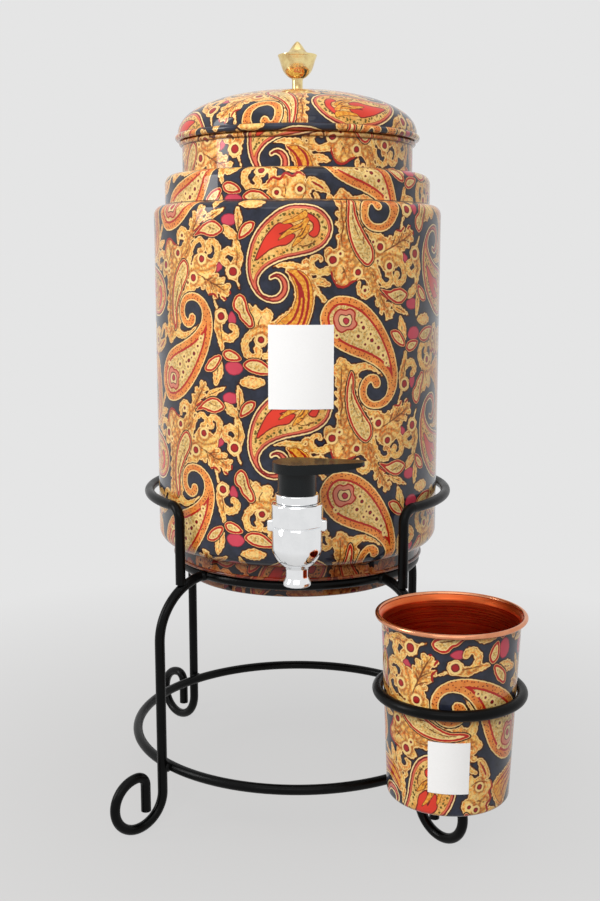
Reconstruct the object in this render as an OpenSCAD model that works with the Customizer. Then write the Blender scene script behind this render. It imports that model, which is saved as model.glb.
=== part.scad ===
// Copper water dispenser: a stepped pot with a lid and a lever tap, on a rod stand.
// The stand also holds a tumbler.
// Millimetres. The floor is z = 0 and the pot's axis is the z axis. The tap faces -Y.

/* [Pot] */
// Radius of the pot's straight wall
pot_r = 89; // [85:0.5:92]
// Height of the straight-walled part, with its two rounded edges
pot_h = 210; // [190:1:240]
// Thickness of the copper sheet
sheet = 1; // [0.8:0.1:1.4]
// Radius of the rounded lower edge
pot_foot_round = 9; // [6:0.5:11]
// Radius of the rounded upper edge
pot_top_round = 6; // [3:0.5:7]
// How far the step on top lies inside the pot's wall
step_in = 7; // [6.5:0.5:10]
// Height of that step
step_h = 18.5; // [14:0.5:24]
// Radius of the rounded edge of the step
step_round = 6; // [3:0.5:7]
// How far the neck lies inside the step
neck_in = 11; // [8:0.5:14]
// Height of the neck up to the centre of its rolled rim
neck_h = 18.3; // [14:0.1:26]
// Wire radius of the rolled rim
mouth_bead = 1.4; // [1.2:0.1:1.8]

/* [Pot base] */
// How far the plain band below the rounded edge lies inside the pot's wall
band_in = 10; // [9.5:0.5:12]
// Height of that band
band_h = 7.1; // [5:0.1:10]
// How far the rim that stands on the stand's ring juts out from the band
seam_out = 1.2; // [0.8:0.1:2]
// Thickness of that folded rim
seam_t = 2; // [1.5:0.1:3]
// How far the cup under the rim, which the ring goes round, lies inside the pot's wall
base_in = 17; // [16:0.5:21]
// Depth of that cup
base_drop = 12; // [8:0.5:16]

/* [Lid] */
// Wire radius of the lid's rolled rim
brim_bead = 2; // [1.6:0.1:2.4]
// How far the lid's rim juts out beyond the neck
brim_out = 4.2; // [3.8:0.1:7]
// Rise of the dome above the rolled rim's top
dome_h = 26; // [18:0.5:34]
// Fullness of the dome's curve, where 2 is an ellipse
dome_full = 2.15; // [2:0.05:2.6]
// How far the inner collar reaches into the neck
collar_drop = 10; // [6:0.5:14]
// Gap all round between the inner collar and the neck
collar_gap = 0.6; // [0.4:0.1:1.2]

/* [Knob] */
// Radius of the knob's wide edge
knob_r = 12; // [9:0.5:14]
// Radius of the knob's stem
knob_stem_r = 3.3; // [3:0.1:4]
// Height of the stem under the bowl
knob_stem_h = 7.8; // [5:0.1:11]
// Height of the bowl up to the wide edge
knob_bowl_h = 13.5; // [10:0.5:16]
// Height of the pointed cap
knob_cap_h = 8.7; // [6:0.1:12]
// Radius of the screw that holds the knob
knob_screw_r = 2; // [1.5:0.1:2.2]

/* [Stand] */
// Diameter of all the stand's rods
rod_d = 6; // [5:0.5:6.5]
// Height of the ring that carries the pot
ring_z = 150; // [130:1:190]
// Gap between the pot's base cup and that ring
ring_gap = 1; // [0.5:0.1:2]
// How far the guard hoop lies above the ring
hoop_rise = 44.5; // [36:0.5:60]
// Gap between the hoop and the pot's wall
hoop_gap = 3; // [2:0.5:5]
// Radius of the bends at the hoop's two ends
hoop_bend = 8; // [6:0.5:11]
// Distance of each leg's upright from the pot's wall
leg_out = 22.5; // [19:0.5:33]
// Height of the lower ring
low_ring_z = 36; // [26:1:60]
// Direction of the front left leg, in degrees
front_left_angle = 222.8; // [215:0.1:232]
// Direction of the front right leg, in degrees
front_right_angle = 311; // [305:0.5:320]
// Direction of the back right leg, in degrees
back_right_angle = 42; // [35:0.5:50]
// Direction of the back left leg, in degrees
back_left_angle = 133.5; // [128:0.5:142]
// Depth to which the rods run into each other at a weld
weld = 0.4; // [0.2:0.1:0.8]

/* [Scroll feet] */
// Radius of the sweep from the upright to the floor
foot_sweep = 18.5; // [17:0.5:22]
// Radius of the outer half circle
foot_curl = 16; // [14:0.5:17]
// Radius of the tight inner bend
foot_eye = 6; // [5:0.5:7]
// Length of the straight tip
foot_tip = 16.5; // [10:0.5:18]

/* [Tumbler] */
// Radius of the ring that holds the tumbler, to the rod's centre
cup_ring_r = 39.6; // [36:0.1:44]
// Height of that ring
cup_ring_z = 106; // [98:1:112]
// Direction from the front right leg to the tumbler, in degrees
cup_angle = 284; // [276:1:292]
// Height of the tumbler
cup_h = 103.5; // [90:0.5:112]
// How far the tumbler reaches below its ring
cup_below = 59.5; // [48:0.5:62]
// Slope of the tumbler's wall, in degrees
cup_taper = 2.4; // [1:0.1:4]
// How far the lip flares beyond the wall
cup_flare = 3.6; // [2:0.1:6]
// Height of the flared lip
cup_flare_h = 5; // [3:0.5:8]
// Radius of the rounded bottom edge
cup_round = 3; // [1.5:0.5:5]

/* [Tap] */
// Distance from the pot's wall to the tap's axis
tap_reach = 33; // [29:0.5:40]
// Height of the tap's shank above the pot's lowest wall edge
shank_rise = 38.5; // [34:0.5:60]
// Outer radius of the shank
shank_r = 8; // [7:0.5:9]
// Radius of the water way
water_r = 4.5; // [3.5:0.5:5]
// Radius of the tap's barrel
barrel_r = 14.2; // [13.5:0.1:16]
// Height of the barrel above the seam
barrel_h = 12.4; // [11:0.1:16]
// Radius of the egg-shaped lower half
egg_r = 13.8; // [13:0.1:15]
// Height of the straight part of the lower half
egg_straight = 11.4; // [10:0.1:14]
// Radius of the outlet's neck
spout_neck_r = 6.4; // [6:0.1:7]
// Radius of the outlet's lip
spout_lip_r = 7.6; // [7.2:0.1:8.5]
// Length of the outlet under the egg
spout_h = 10.5; // [9.5:0.5:14]
// Radius of the hole in the outlet
spout_bore_r = 4.8; // [4:0.1:5]
// Radius of the chrome trim ring
trim_r = 11.9; // [11.4:0.1:13]
// Height of the chrome trim ring
trim_h = 5; // [3.5:0.5:7]
// Radius of the black bonnet
bonnet_r = 10.4; // [10:0.1:11]
// Height of the bonnet above the trim ring
bonnet_h = 11.7; // [10:0.1:15]
// Radius of the hole that takes the bonnet and the valve
chamber_r = 8.8; // [8.4:0.1:9.5]
// Radius of the tap's stem
stem_r = 2.5; // [2:0.1:3]
// Rise of the slanted cam that lifts the valve as the lever turns
cam_rise = 2.2; // [1.6:0.1:2.4]
// Number of curls in the tap's spring
spring_curls = 5; // [4:1:5]
// Wire radius of the spring
spring_wire = 0.5; // [0.4:0.05:0.6]

/* [Lever] */
// Radius of the lever's round head
lever_head_r = 13.3; // [12.5:0.1:15]
// Reach of the lever from the tap's axis
lever_reach = 36.5; // [30:0.5:40]
// Radius of the lever's rounded tip
lever_tip_r = 6; // [4:0.5:8]
// Thickness of the lever's head
lever_t = 5.4; // [4.8:0.1:7]
// Thickness of the lever at its tip
lever_tip_t = 1.8; // [1.2:0.1:3]

/* [Labels] */
// Width of the pot's label
label_w = 37; // [25:1:50]
// Height of the pot's label
label_h = 47.5; // [30:0.5:60]
// Height of its centre above the pot's lowest wall edge
label_rise = 117.5; // [100:0.5:130]
// Direction that it faces, in degrees
label_angle = 271.4; // [250:0.1:290]
// Width of the tumbler's label
cup_label_w = 22; // [14:1:26]
// Height of the tumbler's label
cup_label_h = 29; // [18:1:34]
// Depth of its centre below the tumbler's ring
cup_label_drop = 31; // [26:0.5:34]
// Direction that it faces, in degrees
cup_label_angle = 263; // [240:1:300]
// Thickness of both labels
label_t = 0.3; // [0.2:0.05:0.5]

/* [Fit] */
// Clearance of a piece that only rests on another
seat_gap = 0.3; // [0.2:0.05:0.4]
// Running clearance of the tap's turning and sliding parts
run_gap = 0.08; // [0.05:0.01:0.1]

/* [Hidden] */

ROUND = 144;
SMALL_ROUND = 72;
ROD_ROUND = 40;
ARC_STEPS = 10;
OVER = 0.5;

COPPER = [0.72, 0.4, 0.26];
PRINT = [0.62, 0.36, 0.2];
BRASS = [0.83, 0.66, 0.32];
CHROME = [0.86, 0.87, 0.88];
BLACK = [0.06, 0.06, 0.07];
RUBBER = [0.16, 0.16, 0.17];
WHITE = [0.96, 0.96, 0.96];
STEEL = [0.68, 0.69, 0.7];

rod_r = rod_d / 2;
glue_gap = 0.1;

// Radii of the pot's steps, from its wall in
step_r = pot_r - step_in;
neck_r = step_r - neck_in;
band_r = pot_r - band_in;
seam_r = band_r + seam_out;
base_r = pot_r - base_in;
brim_r = neck_r + brim_out;
leg_spread = pot_r + leg_out;

// Heights of the pot's steps, from the ring up
seam_z = ring_z + rod_r + seat_gap;
band_z = seam_z + seam_t;
pot_z = band_z + band_h;
pot_top_z = pot_z + pot_h;
step_top_z = pot_top_z + step_h;
mouth_z = step_top_z + neck_h;
base_z = seam_z - base_drop;

// Lid, from the pot's rolled rim up
brim_z = mouth_z + mouth_bead + seat_gap;
brim_bead_r = brim_r - brim_bead;
brim_bead_z = brim_z + brim_bead - 0.2;
dome_z = brim_z + 2 * brim_bead;
dome_r = brim_bead_r + 0.3;
dome_top_z = dome_z + dome_h;
lid_collar_r = neck_r - sheet - collar_gap;
brim_inner_r = lid_collar_r + 1;
dome_flat_r = 6;

// Knob
knob_edge_z = dome_top_z + knob_stem_h + knob_bowl_h;
knob_washer_t = 1.2;
knob_washer_r = 6;
knob_washer_z = dome_height(knob_washer_r, dome_r - sheet, dome_h - sheet) - knob_washer_t - glue_gap;
knob_screw_depth = 10;
knob_head_h = 1.6;

// Stand
ring_r = base_r + ring_gap + rod_r;
hoop_r = pot_r + hoop_gap + rod_r;
hoop_z = ring_z + hoop_rise;
arch_r = leg_spread - ring_r;
low_ring_r = leg_spread - rod_d + weld;
post_r = norm([hoop_r, hoop_bend]);
post_turn = atan(hoop_bend / hoop_r);
bead_half = 0.28;

// Tumbler
function polar(r, a) = [r * cos(a), r * sin(a)];
cup_at = polar(leg_spread, front_right_angle) + polar(cup_ring_r + rod_d - weld, cup_angle);
cup_ring_wall_r = cup_ring_r - rod_r / cos(cup_taper) - seat_gap;
cup_bottom_z = cup_ring_z - cup_below;
cup_top_z = cup_bottom_z + cup_h;
cup_bead = 1.3;
function cup_r(z) = cup_ring_wall_r + (z - cup_ring_z) * tan(cup_taper);

// Tap, from its shank up and down
tap_y = -(pot_r + tap_reach);
shank_z = pot_z + shank_rise;
tap_seam_z = shank_z - 3.5;
barrel_top_z = tap_seam_z + barrel_h;
trim_top_z = barrel_top_z + trim_h;
bonnet_top_z = trim_top_z + bonnet_h;
egg_z = tap_seam_z - egg_straight;
egg_end_z = egg_z - sqrt(egg_r * egg_r - spout_neck_r * spout_neck_r);
spout_z = egg_end_z - spout_h;
spout_lip_h = 4.5;
seat_z = egg_z + 1.5;
seal_t = 1.8;

// Bonnet, which is plugged into the barrel and holds the spring
plug_h = 4;
plug_z = barrel_top_z - plug_h;
plug_r = chamber_r - run_gap;
plug_groove_r = plug_r - 1;
pocket_r = plug_groove_r - 0.7;
pocket_top_z = bonnet_top_z - 4.4;
stem_bore_r = stem_r + run_gap;

// Stem with its foot in the seat cup, and the spring on its collar
seat_cup_r = spout_bore_r + 1.6;
seat_cup_z = seat_z + seat_gap;
seat_cup_t = 5;
stem_foot_r = stem_r + 0.7;
stem_foot_t = 1.2;
stem_foot_z = seat_cup_z + 2.2;
collar_r = pocket_r - 0.5;
collar_t = 1.2;
collar_z = plug_z + 1;
spring_z0 = collar_z + collar_t;
spring_z1 = pocket_top_z - seal_t;
spring_r = collar_r - spring_wire - 0.4;
spring_play = 0.05;

// Slanted cam between the bonnet's top and the lever's underside
cam_r = 7.4;
cam_floor = 0.4;
cam_pocket_r = cam_r + 0.8;
cam_slope = atan(cam_rise / (2 * cam_r));
lever_z = bonnet_top_z + seat_gap;
lever_roof = 1.2;
lever_curve = 1.8;
stem_top_z = lever_z + lever_t - lever_roof;
stem_pin_r = 0.8;
stem_pin_reach = 5;
stem_pin_z = stem_top_z - stem_pin_r - 0.3;

// Shank, through the pot's wall
gasket_t = 2.5;
gasket_r = shank_r + 4.5;
flange_t = 4;
wall_in_r = pot_r - sheet;
sag_out = pot_r - sqrt(pot_r * pot_r - gasket_r * gasket_r);
sag_in = wall_in_r - sqrt(wall_in_r * wall_in_r - gasket_r * gasket_r);
nut_y = -wall_in_r + gasket_t + sag_in;
nut_t = 6;
nut_r = shank_r + 5;
shank_end_y = nut_y + nut_t + 5;

// Points of an arc about a centre, in degrees
function arc(c, r, a0, a1, n = ARC_STEPS) = [for (i = [0 : n]) c + polar(r, a0 + (a1 - a0) * i / n)];

// Points of the dome, from its flat top out to its foot
function dome(r, h, r0, n = 22) =
    [for (i = [0 : n]) let (a = 90 * i / n, x = r0 + (r - r0) * sin(a)) [x, dome_height(x, r, h)]];
function dome_height(x, r, h) = dome_z + h * pow(1 - pow(min(x, r) / r, dome_full), 1 / dome_full);

module lathe(points, fn = ROUND) {
    rotate_extrude($fn = fn) polygon(points);
}

module ring_of_rod(r) {
    rotate_extrude($fn = ROUND) translate([r, 0]) circle(r = rod_r, $fn = ROD_ROUND);
}

module bend(r, angle) {
    rotate_extrude(angle = angle, $fn = ROUND) translate([r, 0]) circle(r = rod_r, $fn = ROD_ROUND);
}

module rod(length) {
    cylinder(h = length, r = rod_r, $fn = ROD_ROUND);
}

// A bend that lies in the plane of the x and z axes, from angle a0 through a sweep
module upright_bend(c, r, a0, sweep) {
    translate([c[0], 0, c[1]]) rotate([90, 0, 0]) rotate([0, 0, a0]) bend(r, sweep);
}

module pot_body() {
    outer = concat(
        [[band_r, band_z], [band_r, pot_z]],
        arc([pot_r - pot_foot_round, pot_z + pot_foot_round], pot_foot_round, -90, 0),
        arc([pot_r - pot_top_round, pot_top_z - pot_top_round], pot_top_round, 0, 90),
        [[step_r - 2 * sheet, pot_top_z]]);
    inner = concat(
        [[step_r - 2 * sheet, pot_top_z - sheet]],
        arc([pot_r - pot_top_round, pot_top_z - pot_top_round], pot_top_round - sheet, 90, 0),
        arc([pot_r - pot_foot_round, pot_z + pot_foot_round], pot_foot_round - sheet, 0, -90),
        [[band_r - sheet, pot_z + sheet], [band_r - sheet, band_z]]);
    color(PRINT) difference() {
        lathe(concat(outer, inner));
        translate([0, 0, shank_z]) rotate([90, 0, 0])
            cylinder(h = pot_r + OVER, r = shank_r + seat_gap, $fn = SMALL_ROUND);
    }
}

module pot_shoulder() {
    step_c = [step_r - step_round, step_top_z - step_round];
    wall = concat(
        [[step_r, pot_top_z]],
        arc(step_c, step_round, 0, 90),
        [[neck_r, step_top_z], [neck_r, mouth_z], [neck_r - sheet, mouth_z],
            [neck_r - sheet, step_top_z - sheet]],
        arc(step_c, step_round - sheet, 90, 0),
        [[step_r - sheet, pot_top_z]]);
    color(PRINT) rotate_extrude($fn = ROUND) {
        polygon(wall);
        translate([neck_r - sheet + mouth_bead, mouth_z]) circle(r = mouth_bead, $fn = ROD_ROUND);
    }
}

module pot_base() {
    edge_r = 2;
    color(PRINT) lathe(concat(
        [[0, base_z]],
        arc([base_r - edge_r, base_z + edge_r], edge_r, -90, 0, 5),
        [[base_r, seam_z], [seam_r, seam_z], [seam_r, band_z], [base_r - sheet, band_z]],
        arc([base_r - edge_r, base_z + edge_r], edge_r - sheet, 0, -90, 5),
        [[0, base_z + sheet]]));
}

module lid_shell() {
    outer = dome(dome_r, dome_h, dome_flat_r);
    inner = dome(dome_r - sheet, dome_h - sheet, dome_flat_r);
    reversed = [for (i = [len(inner) - 1 : -1 : 0]) inner[i]];
    color(PRINT) difference() {
        union() {
            lathe(concat(
                [[0, dome_top_z]], outer,
                [[dome_r, brim_bead_z], [brim_bead_r, brim_z], [brim_inner_r, brim_z],
                    [brim_inner_r, brim_z + sheet], [dome_r - sheet, brim_z + sheet]],
                reversed, [[0, dome_top_z - sheet]]));
            rotate_extrude($fn = ROUND) translate([brim_bead_r, brim_bead_z])
                circle(r = brim_bead, $fn = ROD_ROUND);
        }
        translate([0, 0, dome_z])
            cylinder(h = dome_h + OVER, r = knob_screw_r + seat_gap, $fn = SMALL_ROUND);
    }
}

module lid_collar() {
    flange_r = brim_bead_r - brim_bead - 0.2;
    z0 = brim_z - collar_drop;
    z1 = brim_z + sheet;
    color(COPPER) lathe([
        [lid_collar_r - sheet, z0], [lid_collar_r, z0], [lid_collar_r, z1],
        [flange_r, z1], [flange_r, z1 + sheet], [lid_collar_r - sheet, z1 + sheet]]);
}

module lid_knob() {
    bowl_z = dome_top_z + knob_stem_h;
    cap = [[0.9, 0.05], [0.6, 0.16], [0.42, 0.38], [0.25, 0.68], [0.14, 0.87], [0.06, 0.98]];
    bowl = [[0.46, 0.13], [0.63, 0.35], [0.74, 0.57], [0.84, 0.79], [0.95, 0.95]];
    color(BRASS) difference() {
        lathe(concat(
            [[0, dome_top_z], [knob_stem_r + 2, dome_top_z], [knob_stem_r + 1.8, dome_top_z + 0.9],
                [knob_stem_r + 0.3, dome_top_z + 1.8], [knob_stem_r, dome_top_z + 3], [knob_stem_r, bowl_z]],
            [for (p = bowl) [knob_r * p[0], bowl_z + knob_bowl_h * p[1]]],
            [[knob_r, knob_edge_z], [knob_r, knob_edge_z + 0.5]],
            [for (p = cap) [knob_r * p[0], knob_edge_z + knob_cap_h * p[1]]],
            [[0, knob_edge_z + knob_cap_h]]), SMALL_ROUND);
        translate([0, 0, dome_top_z - OVER])
            cylinder(h = knob_screw_depth + OVER, r = knob_screw_r + run_gap, $fn = SMALL_ROUND);
    }
}

module knob_screw() {
    head_z = knob_washer_z - knob_head_h;
    color(STEEL) difference() {
        union() {
            translate([0, 0, head_z]) cylinder(h = knob_head_h, r = 2 * knob_screw_r, $fn = SMALL_ROUND);
            translate([0, 0, head_z]) cylinder(
                h = dome_top_z + knob_screw_depth - 1 - head_z, r = knob_screw_r, $fn = SMALL_ROUND);
        }
        slot_w = 1;
        translate([-2 * knob_screw_r - OVER, -slot_w / 2, head_z - OVER])
            cube([4 * knob_screw_r + 2 * OVER, slot_w, OVER + knob_head_h / 2]);
    }
}

module knob_washer() {
    color(STEEL) translate([0, 0, knob_washer_z]) difference() {
        cylinder(h = knob_washer_t, r = knob_washer_r, $fn = SMALL_ROUND);
        translate([0, 0, -OVER])
            cylinder(h = knob_washer_t + 2 * OVER, r = knob_screw_r + seat_gap, $fn = SMALL_ROUND);
    }
}

module pot_label() {
    sweep = label_w / pot_r * 180 / PI;
    color(WHITE) rotate([0, 0, label_angle - sweep / 2]) rotate_extrude(angle = sweep, $fn = ROUND)
        translate([pot_r + glue_gap, pot_z + label_rise - label_h / 2]) square([label_t, label_h]);
}

module tumbler_label() {
    z = cup_ring_z - cup_label_drop;
    sweep = cup_label_w / cup_r(z) * 180 / PI;
    low = [cup_r(z - cup_label_h / 2) + glue_gap, z - cup_label_h / 2];
    high = [cup_r(z + cup_label_h / 2) + glue_gap, z + cup_label_h / 2];
    color(WHITE) translate(cup_at) rotate([0, 0, cup_label_angle - sweep / 2])
        rotate_extrude(angle = sweep, $fn = ROUND)
            polygon([low, low + [label_t, 0], high + [label_t, 0], high]);
}

module at_tap(z = 0) {
    translate([0, tap_y, z]) children();
}

// A cylinder along +Y on the shank's axis, from y0
module on_shank(y0, length, r, sides = SMALL_ROUND) {
    translate([0, y0, shank_z]) rotate([-90, 0, 0]) cylinder(h = length, r = r, $fn = sides);
}

module washer(h, r, hole) {
    difference() {
        cylinder(h = h, r = r, $fn = SMALL_ROUND);
        translate([0, 0, -OVER]) cylinder(h = h + 2 * OVER, r = hole, $fn = SMALL_ROUND);
    }
}

module tap_body() {
    lug_h = 6.5;
    lug_w = 7;
    lug_reach = barrel_r + 2;
    spout = [[0, spout_z], [spout_lip_r - 0.8, spout_z], [spout_lip_r, spout_z + 0.8],
        [spout_lip_r, spout_z + 2.4], [spout_neck_r, spout_z + spout_lip_h], [spout_neck_r, egg_end_z]];
    barrel = [[egg_r, tap_seam_z], [barrel_r + 0.3, tap_seam_z], [barrel_r, barrel_top_z - 1.6],
        [barrel_r - 0.5, barrel_top_z - 0.4], [barrel_r - 1.2, barrel_top_z], [0, barrel_top_z]];
    color(CHROME) difference() {
        union() {
            at_tap() lathe(concat(
                spout, arc([0, egg_z], egg_r, -acos(spout_neck_r / egg_r), 0, 14), barrel), SMALL_ROUND);
            at_tap(tap_seam_z) cube([2 * lug_reach, lug_w, lug_h], center = true);
            on_shank(tap_y, shank_end_y - tap_y, shank_r);
            on_shank(-pot_r - gasket_t - flange_t, flange_t, gasket_r);
        }
        at_tap(spout_z - OVER)
            cylinder(h = barrel_top_z - spout_z + 2 * OVER, r = spout_bore_r, $fn = SMALL_ROUND);
        at_tap(seat_z) cylinder(h = barrel_top_z - seat_z + OVER, r = chamber_r, $fn = SMALL_ROUND);
        on_shank(tap_y + chamber_r / 2, shank_end_y - tap_y, water_r);
    }
}

// The outer gasket is hollowed to the pot's wall
module tap_outer_gasket() {
    y0 = -pot_r - gasket_t;
    color(RUBBER) difference() {
        on_shank(y0, gasket_t + sag_out + OVER, gasket_r);
        on_shank(y0 - OVER, gasket_t + sag_out + 3 * OVER, shank_r + run_gap);
        translate([0, 0, shank_z - 2 * gasket_r]) cylinder(h = 4 * gasket_r, r = pot_r, $fn = ROUND);
    }
}

// The inner gasket is crowned to the inside of the wall
module tap_inner_gasket() {
    color(RUBBER) difference() {
        intersection() {
            on_shank(-wall_in_r - OVER, gasket_t + sag_in + OVER, gasket_r);
            translate([0, 0, shank_z - 2 * gasket_r])
                cylinder(h = 4 * gasket_r, r = wall_in_r, $fn = ROUND);
        }
        on_shank(-wall_in_r - 2 * OVER, gasket_t + sag_in + 4 * OVER, shank_r + run_gap);
    }
}

module tap_lock_nut() {
    color(STEEL) difference() {
        on_shank(nut_y, nut_t, nut_r, 6);
        on_shank(nut_y - OVER, nut_t + 2 * OVER, shank_r + run_gap);
    }
}

module tap_trim_ring() {
    bore_r = chamber_r + seat_gap;
    color(CHROME) at_tap() lathe([
        [bore_r, barrel_top_z], [trim_r - 0.6, barrel_top_z], [trim_r, barrel_top_z + 0.8],
        [trim_r, trim_top_z - 0.8], [trim_r - 0.6, trim_top_z], [bore_r, trim_top_z]], SMALL_ROUND);
}

// A post from z0 up to a face that slants about the y axis, lower at -x
module cam_post(z0, mid_z, r) {
    difference() {
        at_tap(z0) cylinder(h = mid_z - z0 + cam_rise, r = r, $fn = SMALL_ROUND);
        at_tap(mid_z) rotate([0, -cam_slope, 0]) translate([-2 * r, -2 * r, 0])
            cube([4 * r, 4 * r, 4 * cam_rise]);
    }
}

module tap_bonnet() {
    color(BLACK) difference() {
        union() {
            at_tap(trim_top_z) cylinder(h = bonnet_h, r = bonnet_r, $fn = SMALL_ROUND);
            at_tap(plug_z) cylinder(h = trim_top_z - plug_z + OVER, r = plug_r, $fn = SMALL_ROUND);
            cam_post(bonnet_top_z - OVER, bonnet_top_z + cam_floor + cam_rise / 2, cam_r);
        }
        at_tap(plug_z - OVER)
            cylinder(h = pocket_top_z - plug_z + OVER, r = pocket_r, $fn = SMALL_ROUND);
        at_tap(pocket_top_z - OVER)
            cylinder(h = bonnet_h, r = stem_bore_r, $fn = SMALL_ROUND);
        at_tap(plug_z + 1) washer(seal_t, chamber_r, plug_groove_r);
    }
}

module tap_bonnet_seal() {
    color(RUBBER) at_tap(plug_z + 1) washer(seal_t, chamber_r, plug_groove_r);
}

module tap_stem_seal() {
    color(RUBBER) at_tap(pocket_top_z - seal_t) washer(seal_t, collar_r, stem_bore_r);
}

SPRING_RINGS = 8;
SPRING_SIDES = 6;
spring_steps = spring_curls * SPRING_RINGS;
spring_low = spring_z0 + spring_wire + spring_play;
spring_pitch = (spring_z1 - spring_z0 - 2 * (spring_wire + spring_play)) / spring_curls;

// One point of the spring's surface: step along the wire, side round the wire
function spring_point(i, j) =
    let (turn = 360 * i / SPRING_RINGS, side = 360 * j / SPRING_SIDES,
        r = spring_r + spring_wire * cos(side))
    [r * cos(turn), r * sin(turn), spring_low + spring_pitch * i / SPRING_RINGS + spring_wire * sin(side)];

function spring_quad(i, j) =
    let (a = i * SPRING_SIDES + j, b = i * SPRING_SIDES + (j + 1) % SPRING_SIDES)
    [[a, a + SPRING_SIDES, b], [b, a + SPRING_SIDES, b + SPRING_SIDES]];

module tap_spring() {
    sides = [for (i = [0 : spring_steps - 1], j = [0 : SPRING_SIDES - 1]) each spring_quad(i, j)];
    first = [for (j = [1 : SPRING_SIDES - 2]) [0, j, j + 1]];
    last = [for (face = first) [for (k = [2, 1, 0]) face[k] + spring_steps * SPRING_SIDES]];
    echo(spring_gap = spring_pitch - 2 * spring_wire);
    color(STEEL) at_tap() polyhedron(
        points = [for (i = [0 : spring_steps], j = [0 : SPRING_SIDES - 1]) spring_point(i, j)],
        faces = concat(sides, first, last));
}

module tap_stem() {
    color(STEEL) difference() {
        union() {
            at_tap(stem_foot_z) cylinder(h = stem_top_z - stem_foot_z, r = stem_r, $fn = SMALL_ROUND);
            at_tap(stem_foot_z) cylinder(h = stem_foot_t, r = stem_foot_r, $fn = SMALL_ROUND);
            at_tap(collar_z) cylinder(h = collar_t, r = collar_r, $fn = SMALL_ROUND);
        }
        stem_pin_hole(2 * stem_r);
    }
}

// The hole for the pin, from its inner end out towards the pot
module stem_pin_hole(reach) {
    at_tap(stem_pin_z) translate([0, -stem_pin_reach, 0]) rotate([-90, 0, 0])
        cylinder(h = stem_pin_reach + reach, r = stem_pin_r + run_gap / 2, $fn = SMALL_ROUND);
}

module tap_stem_pin() {
    color(STEEL) at_tap(stem_pin_z) translate([0, -stem_pin_reach, 0]) rotate([-90, 0, 0])
        cylinder(h = 2 * stem_pin_reach, r = stem_pin_r, $fn = SMALL_ROUND);
}

// The rubber cup holds the stem's foot and lets it turn
module tap_seat_cup() {
    color(RUBBER) difference() {
        at_tap(seat_cup_z) cylinder(h = seat_cup_t, r = seat_cup_r, $fn = SMALL_ROUND);
        at_tap(stem_foot_z - run_gap)
            cylinder(h = stem_foot_t + 2 * run_gap, r = stem_foot_r + run_gap, $fn = SMALL_ROUND);
        at_tap(stem_foot_z) cylinder(h = seat_cup_t, r = stem_bore_r, $fn = SMALL_ROUND);
    }
}

// The lever from above: a round head that narrows to a round tip
module lever_plan() {
    tip_x = lever_reach - lever_tip_r;
    lean = asin((lever_head_r - lever_tip_r) / tip_x);
    inset = 0.05;
    head = (lever_head_r - inset) * [sin(lean), cos(lean)];
    tip = [tip_x, 0] + (lever_tip_r - inset) * [sin(lean), cos(lean)];
    cylinder(h = lever_t, r = lever_head_r, $fn = SMALL_ROUND);
    translate([tip_x, 0, 0]) cylinder(h = lever_t, r = lever_tip_r, $fn = SMALL_ROUND);
    linear_extrude(lever_t) polygon([head, tip, [tip[0], -tip[1]], [head[0], -head[1]]]);
}

// Outline of the lever from the side: flat on top and curving up to a thin tip
module lever_side() {
    steps = 8;
    x0 = lever_head_r - 1;
    top = lever_z + lever_t;
    under = [for (i = [0 : steps]) let (t = i / steps)
        [x0 + (lever_reach - x0) * t, lever_z + (lever_t - lever_tip_t) * pow(t, lever_curve)]];
    polygon(concat(
        [[-lever_head_r - OVER, top], [-lever_head_r - OVER, lever_z]],
        under, [[lever_reach + OVER, lever_z + lever_t - lever_tip_t], [lever_reach + OVER, top]]));
}

module tap_lever() {
    color(BLACK) difference() {
        intersection() {
            at_tap(lever_z) union() { lever_plan(); }
            at_tap() translate([0, lever_head_r + OVER, 0]) rotate([90, 0, 0])
                linear_extrude(2 * lever_head_r + 2 * OVER) lever_side();
        }
        cam_post(lever_z - OVER, bonnet_top_z + cam_floor + seat_gap + cam_rise / 2, cam_pocket_r);
        at_tap(lever_z - OVER) cylinder(h = stem_top_z - lever_z + OVER, r = stem_bore_r, $fn = SMALL_ROUND);
        stem_pin_hole(2 * lever_head_r);
    }
}

module support_ring() {
    color(BLACK) translate([0, 0, ring_z]) ring_of_rod(ring_r);
}

module lower_ring() {
    color(BLACK) translate([0, 0, low_ring_z]) ring_of_rod(low_ring_r);
}

module tumbler_ring() {
    color(BLACK) translate([cup_at[0], cup_at[1], cup_ring_z]) ring_of_rod(cup_ring_r);
}

// Height at which a post's end stands on the curved top of a leg
function post_foot_z() =
    let (lean = asin((post_r - ring_r) / arch_r))
    ring_z - arch_r + arch_r * cos(lean) + rod_r / cos(lean) - weld;

// One end of the hoop, bent down into a post, with a bead where the bend is joined on.
// The local x axis runs on along the hoop.
module hoop_end(dir, heading) {
    length = hoop_z - hoop_bend - post_foot_z();
    bead_turn = bead_half / hoop_bend * 180 / PI;
    translate(concat(polar(hoop_r, dir), hoop_z)) rotate([0, 0, dir + heading]) {
        upright_bend([0, -hoop_bend], hoop_bend, 0, 90 - bead_turn);
        translate([hoop_bend, 0, -hoop_bend - length]) rod(length);
        sphere(r = rod_r + 0.1, $fn = ROD_ROUND);
    }
}

module guard_hoop() {
    start = front_right_angle + post_turn;
    stop = front_left_angle - post_turn + 360;
    bead_turn = bead_half / hoop_r * 180 / PI;
    color(BLACK) {
        translate([0, 0, hoop_z]) rotate([0, 0, start + bead_turn])
            bend(hoop_r, stop - start - 2 * bead_turn);
        hoop_end(start, -90);
        hoop_end(stop, 90);
    }
}

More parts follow.
